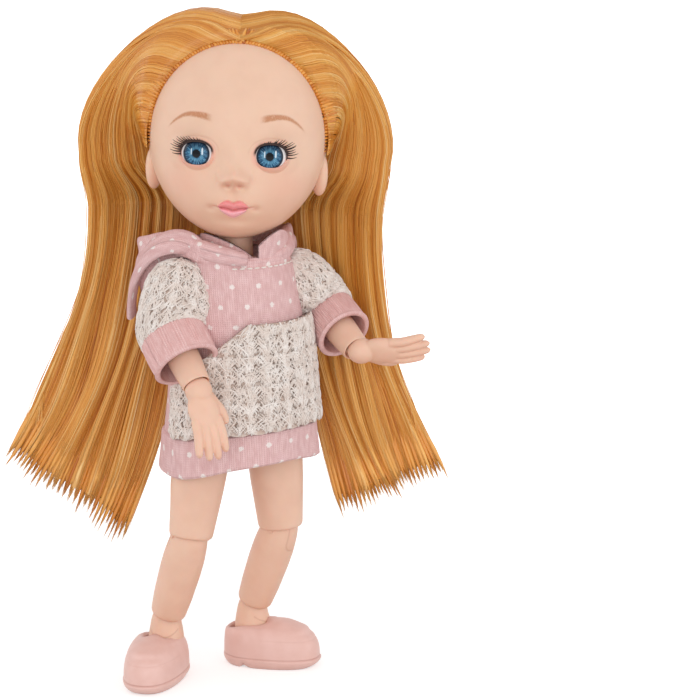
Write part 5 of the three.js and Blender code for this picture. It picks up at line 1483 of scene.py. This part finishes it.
def add_hood(look):
    """Rolled hood round the neck with soft lengthways folds and a bag at the back."""
    ring = hood_ring()
    count, columns = HOOD_ROWS, HOOD_COLUMNS
    middle = ring[:, :3] + UP * NECKLINE
    along = unit(np.roll(middle, -1, axis=0) - np.roll(middle, 1, axis=0))
    outward = unit(np.cross(along, UP))
    upward = np.cross(outward, along)
    angle = circle(columns)[None]
    way = circle(count)[:, None]
    plump = 1 + 0.12 * np.sin(3 * angle + 2 * way) + 0.07 * np.sin(5 * angle - 3 * way + 1)
    points = (middle[:, None] + outward[:, None] * (np.cos(angle) * plump * ring[:, 3:4])[..., None]
              + upward[:, None] * (np.sin(angle) * plump * ring[:, 4:5])[..., None])
    points = points + 0.35 * ripple(points, 6.0, 41)[..., None] * unit(points - middle[:, None])
    faces = grid_faces(count + 1, columns) % (count * columns)
    centres = np.concatenate([points, points[:1]]).mean(1)
    length = np.cumsum(np.linalg.norm(np.diff(centres, axis=0), axis=1))
    weave = cloth_values(length[:, None], angle * ring[:, 4:5])
    shape = Shape(torso_world(points), [faces[:, ::-1]], weave=weave.reshape(-1, 3))
    made = add_piece("dress_hood_roll", shape, look)
    fit(made, "pink_knit", "torso", "dress_hood")


def add_hood_band(name, look):
    """Folded edge of the hood: a flattened roll of jersey along a curve."""
    spots, half_thick, half_wide, ending = HOOD_BANDS[name]
    a, b, c, d = np.array(spots)
    share = np.linspace(0, 1, 90)
    t = share[:, None]
    middle = a * (1 - t) ** 3 + 3 * b * t * (1 - t) ** 2 + 3 * c * t ** 2 * (1 - t) + d * t ** 3
    along = unit(np.gradient(middle, axis=0))
    away = unit(middle * (1, 1, 0) + UP * 4.0)
    wide = unit(np.cross(along, away))
    out = np.cross(wide, along)
    angle = circle(64)[None]
    full = np.sin(np.pi * np.clip(0.1 + ending * t, 0, 1)) ** 0.3
    fold = 1 - 0.25 * np.exp(-((angle - 0.3) / 0.3) ** 2)
    points = middle[:, None] + out[:, None] * (np.cos(angle) * fold * half_thick * full)[..., None]
    points = points + wide[:, None] * (np.sin(angle) * half_wide * full)[..., None]
    points = points + 0.14 * ripple(points, 6.0, 43)[..., None] * out[:, None]
    weave = cloth_values(angle * half_wide, t * 24)
    made = add_piece(name, loft(torso_world(points[:, ::-1]), weave=weave[:, ::-1]), look)
    fit(made, "pink_knit", "torso")


def add_hood_flap(name, look):
    """Standing flap of the hood beside the neck."""
    (start, end), (near, far), lows, highs, cut = HOOD_FLAPS[name]
    share = np.linspace(0, 1, 110)
    angle = np.radians(mixed(start, end, share))[None]
    low, high = (np.polyval(np.polyfit(np.linspace(0, 1, 4), ends, 3), share) for ends in (lows, highs))
    level = np.linspace(0, 1, 60)[:, None]
    radius = mixed(near, far, share)[None] + 0.6 * np.sin(np.pi * level) + 0.8 * level ** 3
    points = np.stack([radius * np.sin(angle), 0.5 - radius * np.cos(angle), mixed(low, high, level)], -1)
    points = points + grid_normals(points, False) * (0.3 * ripple(points, 5.0, 45))[..., None]
    shape = sheet(points, 1.1, False, weave=cloth_values(angle * 10, points[..., 2]))
    length = max(10 * np.radians(abs(end - start)), 10.0)
    add_sheet(name, shape, look, [], "pink_knit", ((length, 10.0), cut))


def add_back_strip(look):
    points, weave = cloth_grid((171, 189), (10, 26), (40, 60), 0.9, 0.05, 51)
    shape = sheet(points, 0.7, False, weave=weave)
    add_sheet("back_closure", shape, look, ["dress_back_strip"], "pink_knit", STRIP_FLAT)


# Arms
def arm_frames(name):
    side, pose = SIDES[name], ARM_ANGLES[name]
    upper = turns(("X", -pose["swing"]), ("Y", -side * pose["raise"]))
    lower = upper @ turns(("Z", pose["twist"]), ("X", -pose["bend"]))
    hand = lower @ turns(("Z", pose["wrist_turn"]), ("X", pose["wrist_bend"]))
    return upper, lower, hand


def ring_rows(stations, rows, columns):
    """Grid over round stations (place, direction, radius), eased between them."""
    stations = np.array([(*place, *way, radius) for place, way, radius in stations])
    gaps = np.linalg.norm(np.diff(stations[:, :3], axis=0), axis=1)
    knots = np.concatenate([[0], np.cumsum(gaps + 0.6)])
    fine = np.linspace(0, knots[-1], rows)
    mean = eased(fine, knots, stations, 0.7)
    place, way, radius = mean[:, :3], unit(mean[:, 3:6]), mean[:, 6:]
    across = unit(np.cross(way, np.array([0.2, -1.0, 0.1])))
    other = np.cross(way, across)
    angle = circle(columns)
    ring = across[:, None] * np.cos(angle)[None, :, None] + other[:, None] * np.sin(angle)[None, :, None]
    return place[:, None] + ring * radius[:, None], ring, angle, fine


def add_sleeve(name, look, yarn_look):
    """Puffed yarn sleeve, domed over the shoulder and open at the cuff."""
    upper, lower, _ = arm_frames(name)
    down, along = -upper[:, 2], -lower[:, 2]
    shoulder, elbow = PLACES[f"{name}_shoulder_swing"], PLACES[f"{name}_elbow_bend"]
    middle = unit(down + along)
    stations = [(shoulder + down * offset, down, radius) for offset, radius in SLEEVE_HEADS[name]]
    bend, end = SLEEVE_ENDS[name]
    stations += [(elbow - middle * 1.5, middle, bend), (elbow + along * 1.4, along, end)]
    smooth, ring, _, _ = ring_rows(stations, 70, 110)
    points = smooth + ring * (0.3 * ripple(smooth, 4.2, 61))[..., None]
    shade = np.clip(0.3 + 0.6 * ripple(points, 2.4, 62), 0, 1)
    shape = sheet(points, SLEEVE_THICK, True, smooth, shade=shade)
    made = add_piece(f"{name}_sleeve_cloth", shape, look, shape.normals)
    fit(made, "cream_knit", None, f"{name}_sleeve")
    grid = np.concatenate([points, points[:, :1]], 1)
    lace = joined([grid_lace(grid, *cells, SEED + 70 + layer) for layer, cells in enumerate(SLEEVE_YARN)])
    yarn = add_piece(f"{name}_sleeve_yarn", lace, yarn_look)
    fit(yarn, "cream_knit", None)
    for each in (made, yarn):
        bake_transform(each, f"{name}_upper_arm", f"{name}_forearm",
                 tuple((elbow - middle * 3.0) * MM), tuple((elbow + middle * 1.5) * MM))


def add_cuff(name, look):
    """Ribbed band round the forearm, with a rolled end and an inner wall."""
    _, lower, _ = arm_frames(name)
    along = -lower[:, 2]
    elbow = PLACES[f"{name}_elbow_bend"]
    full = CUFF_FULLNESS[name]
    stations = [(elbow + along * place, along, radius * full) for place, radius in CUFF_OUTLINE]
    smooth, ring, angle, fine = ring_rows(stations, 60, 300)
    end = fine[-1]
    even = rise(0.2, 1.5, fine) * rise(end - 0.5, end - 2.5, fine)
    rolled = rise(end - 1.4, end - 0.6, fine) * rise(end, end - 0.5, fine)
    rib = 0.14 * np.cos(CUFF_RIBS * angle)[None] * even[:, None] + 0.3 * rolled[:, None]
    points = smooth + ring * (rib + 0.12 * ripple(smooth, 8.0, 63))[..., None]
    shape = sheet(points, 0.9, True, smooth, weave=cloth_values(angle[None] * 7.6, fine[:, None]))
    made = add_piece(f"{name}_cuff_band", shape, look)
    fit(made, "pink_knit", f"{name}_forearm", f"{name}_cuff")


def turned(outline, rows):
    """Lathe of an outline, with its corners rounded off, and the angles of its columns."""
    outline = np.array(outline)
    knots = np.concatenate([[0], np.cumsum(np.linalg.norm(np.diff(outline, axis=0), axis=1))])
    radius, height = eased(np.linspace(0, knots[-1], rows), knots, outline, 0.5).T[..., None, None]
    angle = circle(LIMB_COLUMNS)
    ring = np.stack([np.sin(angle), -np.cos(angle), 0 * angle], -1)
    return ring * np.maximum(radius, 0.02) + UP * height, angle


def limb_piece(part, points, matrix, joint, look, crease=0, node=None):
    shape = loft(points, crease=crease)
    shape.moved(matrix, PLACES[joint])
    fit(add_piece(f"{part}_skin", shape, look), "limb_plastic", part, node or part)


def add_forearm(name, look):
    _, lower, _ = arm_frames(name)
    points, _ = turned(FOREARM, 80)
    limb_piece(f"{name}_forearm", points, lower, f"{name}_elbow_bend", look)


def blob(place, halves):
    """Rounded lump used to build up a hand."""
    return loft(globe(*np.meshgrid(circle(40), np.linspace(-1.55, 1.55, 28))) * halves + place)


def finger(path, radii):
    """Rounded finger along a bent path."""
    knots = np.linspace(0, 1, len(path))
    fine = np.linspace(0, 1, 26)
    middle = np.stack([np.interp(fine, knots, column) for column in np.array(path).T], -1)
    for _ in range(4):
        middle[1:-1] = (middle[:-2] + 2 * middle[1:-1] + middle[2:]) / 4
    ends = np.sqrt(np.clip(1 - np.clip((fine - 0.86) / 0.14, 0, 0.995) ** 2, 0, 1))
    return tubes(middle[None], (np.interp(fine, knots, radii) * ends)[None], 18)


def hand_shape(side):
    """Palm, four fingers and a thumb; fingers point down, the palm faces +Y."""
    thumb = -side
    shapes = [blob((0, 0, -5.4), (3.9, 2.0, 5.0)), blob((0, 0, -0.8), (3.15, 3.05, 3.3)),
              blob((thumb * 2.6, 0.9, -3.8), (1.8, 1.6, 2.9))]
    for place, long in zip((-1.5, -0.5, 0.5, 1.5), FINGER_LENGTHS[::side]):
        root = place * 1.85
        tip = place * 2.35
        path = [(root, -0.1, -7.6), (mixed(root, tip, 0.4), -0.15, -9.6 - 0.15 * long),
                (mixed(root, tip, 0.75), 0.45, -8.8 - 0.6 * long), (tip, 1.3, -8.8 - long)]
        shapes.append(finger(path, (1.15, 1.1, 1.02, 0.85)))
    path = np.array([(2.6, 0.7, -3.0), (4.4, 1.0, -5.4), (5.3, 1.3, -7.6), (5.4, 1.7, -9.4)]) * (thumb, 1, 1)
    shapes.append(finger(path, (1.5, 1.35, 1.2, 0.95)))
    return joined(shapes)


def add_hand(name, look):
    """Hand built up from lumps, fused and smoothed."""
    _, _, matrix = arm_frames(name)
    shape = hand_shape(SIDES[name])
    shape.moved(matrix, PLACES[f"{name}_wrist_bend"])
    made = add_piece(f"{name}_hand_skin", shape, look)
    remesh = made.modifiers.new("fuse", "REMESH")
    remesh.mode = "VOXEL"
    remesh.voxel_size = HAND_VOXEL * MM
    remesh.use_smooth_shade = True
    soften = made.modifiers.new("soften", "SMOOTH")
    soften.factor = 0.5
    soften.iterations = 5
    fused = bpy.data.meshes.new_from_object(made.evaluated_get(bpy.context.evaluated_depsgraph_get()))
    made.modifiers.clear()
    made.data = fused
    rest = np.empty(len(fused.vertices) * 3, np.float32)
    fused.vertices.foreach_get("co", rest)
    for old in [each for each in fused.attributes if each.name == "rest"]:
        fused.attributes.remove(old)
    fused.attributes.new("rest", "FLOAT_VECTOR", "POINT").data.foreach_set("vector", rest / MM)
    fit(made, "limb_plastic", f"{name}_hand", f"{name}_hand")


# Legs
def leg_frames(name):
    side, pose = SIDES[name], LEG_ANGLES[name]
    thigh = turns(("X", -pose["swing"]), ("Y", -side * pose["spread"]))
    knee, ankle = PLACES[f"{name}_knee_bend"], PLACES[f"{name}_ankle_bend"]
    shin_turned = thigh @ turn("Z", side * pose["turnout"])
    down = shin_turned.T @ unit(ankle - knee)
    bend = np.degrees(np.arctan2(down[1], -down[2]))
    foot = turn("Z", side * pose["heading"])
    return thigh, shin_turned @ turn("X", bend), foot


def add_thigh(name, look):
    """Thigh whose lower end is cut back behind, where the shin bends in."""
    thigh, _, _ = leg_frames(name)
    points, angle = turned(THIGH, 150)
    turnout = np.radians(SIDES[name] * LEG_ANGLES[name]["turnout"])
    back = rise(0.15, 0.6, -np.cos(angle + turnout))
    points[..., 2] += 6.0 * back[None] * rise(-14.0, -26.8, points[..., 2])
    limb_piece(f"{name}_thigh", points, thigh, f"{name}_hip_swing", look)


def engraved(points, gap, where):
    """Sinks a joint line into a limb where its gap is small; also gives the line's shade."""
    mark = np.exp(-(gap / LINE_HALF_WIDTH) ** 2) * where
    points[..., :2] *= (1 - LINE_DEPTH * mark)[..., None]
    return 0.3 * mark


def from_front(angle, radius):
    """Millimetres round a limb from its front."""
    return np.abs((angle + np.pi) % TURN - np.pi)[None] * radius


def add_shin(name, look):
    """Shin with the line of its knee tongue, which shows on the left one."""
    _, shin, _ = leg_frames(name)
    points, angle = turned(SHIN, 150)
    wide = from_front(angle, 4.2)
    height = points[..., 2]
    tongue = np.abs(np.sqrt(wide ** 2 + np.minimum(height + 2.6, 0) ** 2) - 1.9)
    crease = engraved(points, tongue, (height > -5.5) & (wide < 2.6) & (name == "left"))
    limb_piece(f"{name}_shin", points, shin, f"{name}_knee_bend", look, crease)


def add_foot(name, look):
    """Foot with a domed line over its instep."""
    _, _, foot = leg_frames(name)
    points, angle = turned(FOOT, 90)
    low = rise(-1.5, -7.0, points[..., 2])
    points[..., 1] -= 1.6 * low * np.maximum(np.cos(angle), 0)[None]
    wide = from_front(angle, 3.6)
    dome = np.abs(points[..., 2] + 3.4 - 0.11 * wide ** 2)
    limb_piece(f"{name}_foot", points, foot, f"{name}_ankle_bend", look, engraved(points, dome, wide < 4.0))


def shoe_points():
    """Slip-on shoe: rows climb from the sole over the side to the rim and down inside, with painted shade
    marked at the welt, the vamp ridge and inside the rim.
    """
    angle = circle(SHOE_COLUMNS)
    s, c = np.sin(angle), np.cos(angle)
    broad = np.sign(s) * np.abs(s) ** 0.8
    ahead = np.clip(c, 0, 1) ** 1.6
    behind = np.clip(-c, 0, 1) ** 1.6
    beside = 1 - ahead - behind
    rim_share = 0.34 * ahead + 0.66 * beside + 0.93 * behind
    rim_height = SHOE_TOP * ahead + SHOE_SIDE_TOP * beside + SHOE_HEEL_TOP * behind
    flare = 1 + 0.07 * c
    outline = np.stack([broad * SHOE_HALF_WIDTH * flare, -np.where(c > 0, SHOE_TOE, SHOE_HEEL) * c], -1)
    rows, creases = [], []

    def add_row(share, height, mark=0.0):
        share, height, mark = np.broadcast_arrays(share, height, mark, angle)[:3]
        rows.append(np.concatenate([outline * share[:, None], height[:, None]], 1))
        creases.append(mark)

    notch = np.exp(-((c + 0.05) / 0.1) ** 2)
    for share in np.linspace(0.02, SOLE_EDGE, 14):
        add_row(share, INSTEP_NOTCH * notch * (share / SOLE_EDGE) ** 4)
    for part in np.linspace(0.1, 1, 14):
        bulge = SOLE_EDGE + 0.145 * np.sin(part * np.pi / 2) ** 0.8
        add_row(bulge - 0.06 * notch * (1 - part), SHOE_SOLE * part + INSTEP_NOTCH * notch * (1 - part))
    for depth, lift, mark in ((SHOE_WALL, 0.12, 0.15), (0.968, 0.3, 0.4), (SHOE_WALL, 0.5, 0.15)):
        add_row(depth, SHOE_SOLE + lift, mark)
    base = SHOE_SOLE + 0.6
    for part in np.linspace(0, 1, 70):
        bend = (1 - part ** 2.5) ** (1 / 2.1)
        share = rim_share + (SHOE_WALL - rim_share) * bend
        height = base + (rim_height - base) * part
        ridge = np.exp(-((part - mixed(0.62, 0.5, ahead)) / 0.02) ** 2) * rise(0.1, 0.5, c)
        apron = np.sin(np.pi * np.clip((part - 0.55) / 0.45, 0, 1)) * ahead ** 3
        rings = 0.014 * np.cos(24 * part) * apron
        add_row(share - 0.006 * ridge + rings, height - 0.04 * ridge + 6 * rings, 0.08 * ridge)
    for inward, lift in ((-0.05, 0.25), (-0.12, 0.1), (-0.15, -0.6), (-0.13, -3.0)):
        add_row(np.maximum(rim_share + inward, 0.1), rim_height + lift, 0.15)
    return np.array(rows), np.array(creases)


def add_shoe(name, look):
    _, _, foot = leg_frames(name)
    points, crease = shoe_points()
    shape = loft(points, crease=crease)
    shape.moved(foot, PLACES[f"{name}_ankle_bend"] - UP * ANKLE_HEIGHT + np.array(SHOE_SHIFT[name]))
    fit(add_piece(f"{name}_shoe_skin", shape, look), "shoe_vinyl", f"{name}_foot", f"{name}_shoe")


def add_neck(look):
    points, _ = turned(NECK, 70)
    limb_piece("neck", points, np.eye(3), "neck_turn", look, node="neck_knob")


def dress_inner_nodes(look):
    """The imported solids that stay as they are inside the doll."""
    for name in (*INNER_SHELLS, *(f"{side}_{part}" for side in SIDES for part in INNER_PARTS)):
        materials = frame["nodes"][name].data.materials
        materials.clear()
        materials.append(look)


# Stage
def seen_straight(tree):
    """1 for rays that see a surface, also in a mirror or through glass, and 0 for those that light others."""
    rays = tree.nodes.new("ShaderNodeLightPath").outputs
    seen = rays["Is Camera Ray"]
    for kind in ("Is Glossy Ray", "Is Transmission Ray"):
        either = tree.nodes.new("ShaderNodeMath")
        either.operation = "MAXIMUM"
        tree.links.new(seen, either.inputs[0])
        tree.links.new(rays[kind], either.inputs[1])
        seen = either.outputs[0]
    return seen


def floor_look():
    """White floor that keeps a soft contact shadow and stays white farther off."""
    look = Look("floor_paper", roughness=0.9, specular=0.0)
    place = look.geometry("Position")
    look.paint(look.mix(look.noise(place, 40.0), (0.72, 0.72, 0.72, 1), (0.75, 0.75, 0.75, 1)))
    distance = look.node("ShaderNodeVectorMath", ((0, place), (1, (0, 0, 0))), "Value", operation="DISTANCE")
    glow = look.step(distance, 0.06, 0.3) * 0.5 + 0.5
    look.set("Emission Color", (1, 1, 1, 1))
    look.set("Emission Strength", glow * Wire(look, seen_straight(look.tree)))
    return look.material


def add_floor():
    mesh = bpy.data.meshes.new("floor")
    corners = [(FLOOR_REACH * x, FLOOR_REACH * y, 0) for x, y in ((-1, -1), (1, -1), (1, 1), (-1, 1))]
    mesh.from_pydata(corners, [], [(0, 1, 2, 3)])
    mesh.materials.append(floor_look())
    floor = bpy.data.objects.new("floor", mesh)
    bpy.context.scene.collection.objects.link(floor)


def add_world():
    """White surroundings that light the doll a little less than they shine."""
    world = bpy.data.worlds.new("studio")
    bpy.context.scene.world = world
    world.use_nodes = True
    tree = world.node_tree
    ground = tree.nodes["Background"]
    ground.inputs["Color"].default_value = (1, 1, 1, 1)
    level = tree.nodes.new("ShaderNodeMapRange")
    tree.links.new(seen_straight(tree), level.inputs["Value"])
    level.inputs["To Min"].default_value = WORLD_LIGHT
    level.inputs["To Max"].default_value = 1.0
    tree.links.new(level.outputs[0], ground.inputs["Strength"])


def add_light(name, place, target, size, power):
    data = bpy.data.lights.new(name, "AREA")
    data.size = size
    data.energy = power
    light = bpy.data.objects.new(name, data)
    bpy.context.scene.collection.objects.link(light)
    light.location = place
    light.rotation_euler = (Vector(target) - Vector(place)).to_track_quat("-Z", "Y").to_euler()


def add_camera():
    angle = np.radians(VIEW_DIRECTION)
    toward = np.array([-np.sin(angle), np.cos(angle), 0])
    beside = np.array([np.cos(angle), np.sin(angle), 0])
    yaw = np.arctan(VIEW_SIDE_PIXELS / VIEW_FOCAL_PIXELS)
    pitch = np.arctan((VIEW_HEIGHT - VIEW_AIM_HEIGHT) / VIEW_DISTANCE)
    aim = (toward * np.cos(yaw) + beside * np.sin(yaw)) * np.cos(pitch) - UP * np.sin(pitch)
    place = TORSO_PLACE * (1, 1, 0) - toward * VIEW_DISTANCE + UP * VIEW_HEIGHT
    data = bpy.data.cameras.new("camera")
    data.sensor_width = SENSOR_WIDTH_MM
    data.lens = VIEW_FOCAL_PIXELS / IMAGE_PIXELS * SENSOR_WIDTH_MM
    data.clip_end = VIEW_REACH_M
    camera = bpy.data.objects.new("camera", data)
    bpy.context.scene.collection.objects.link(camera)
    camera.location = Vector(place * MM)
    camera.rotation_euler = Vector(aim).to_track_quat("-Z", "Y").to_euler()
    bpy.context.scene.camera = camera


def build():
    limbs = limb_look()
    eyes = eye_look()
    lashes = lash_look()
    jersey = pink_look("pink_jersey", 0.5, colour(240, 204, 203), colour(224, 180, 179), dots=True)
    strip = pink_look("pink_strip", 0.6, colour(238, 200, 198), colour(222, 176, 174))
    cuffs = pink_look("cuff_rib", 0.6, colour(241, 202, 199), colour(228, 180, 176))
    cream = cream_look("cream_knit", colour(238, 225, 216), colour(208, 182, 168))
    yarn = cream_look("cream_yarn", colour(250, 243, 238), colour(234, 220, 211))
    shoes = shoe_look()
    dress_inner_nodes(inner_look())
    add_neck(limbs)
    add_head()
    add_hair()
    add_bodice(jersey)
    add_skirt(jersey)
    add_pocket(cream, yarn)
    add_stitches(yarn)
    add_hood(jersey)
    for name in HOOD_BANDS:
        add_hood_band(name, jersey)
    for name in HOOD_FLAPS:
        add_hood_flap(name, jersey)
    add_back_strip(strip)
    for name, side in SIDES.items():
        add_eye(name, side, eyes)
        add_lashes(name, side, lashes)
        add_sleeve(name, cream, yarn)
        add_cuff(name, cuffs)
        add_forearm(name, limbs)
        add_hand(name, limbs)
        add_thigh(name, limbs)
        add_shin(name, limbs)
        add_foot(name, limbs)
        add_shoe(name, shoes)


build()
add_floor()
add_world()
for name, light in LIGHTS.items():
    add_light(name, *light)
add_camera()
bpy.context.scene.view_settings.view_transform = "Standard"
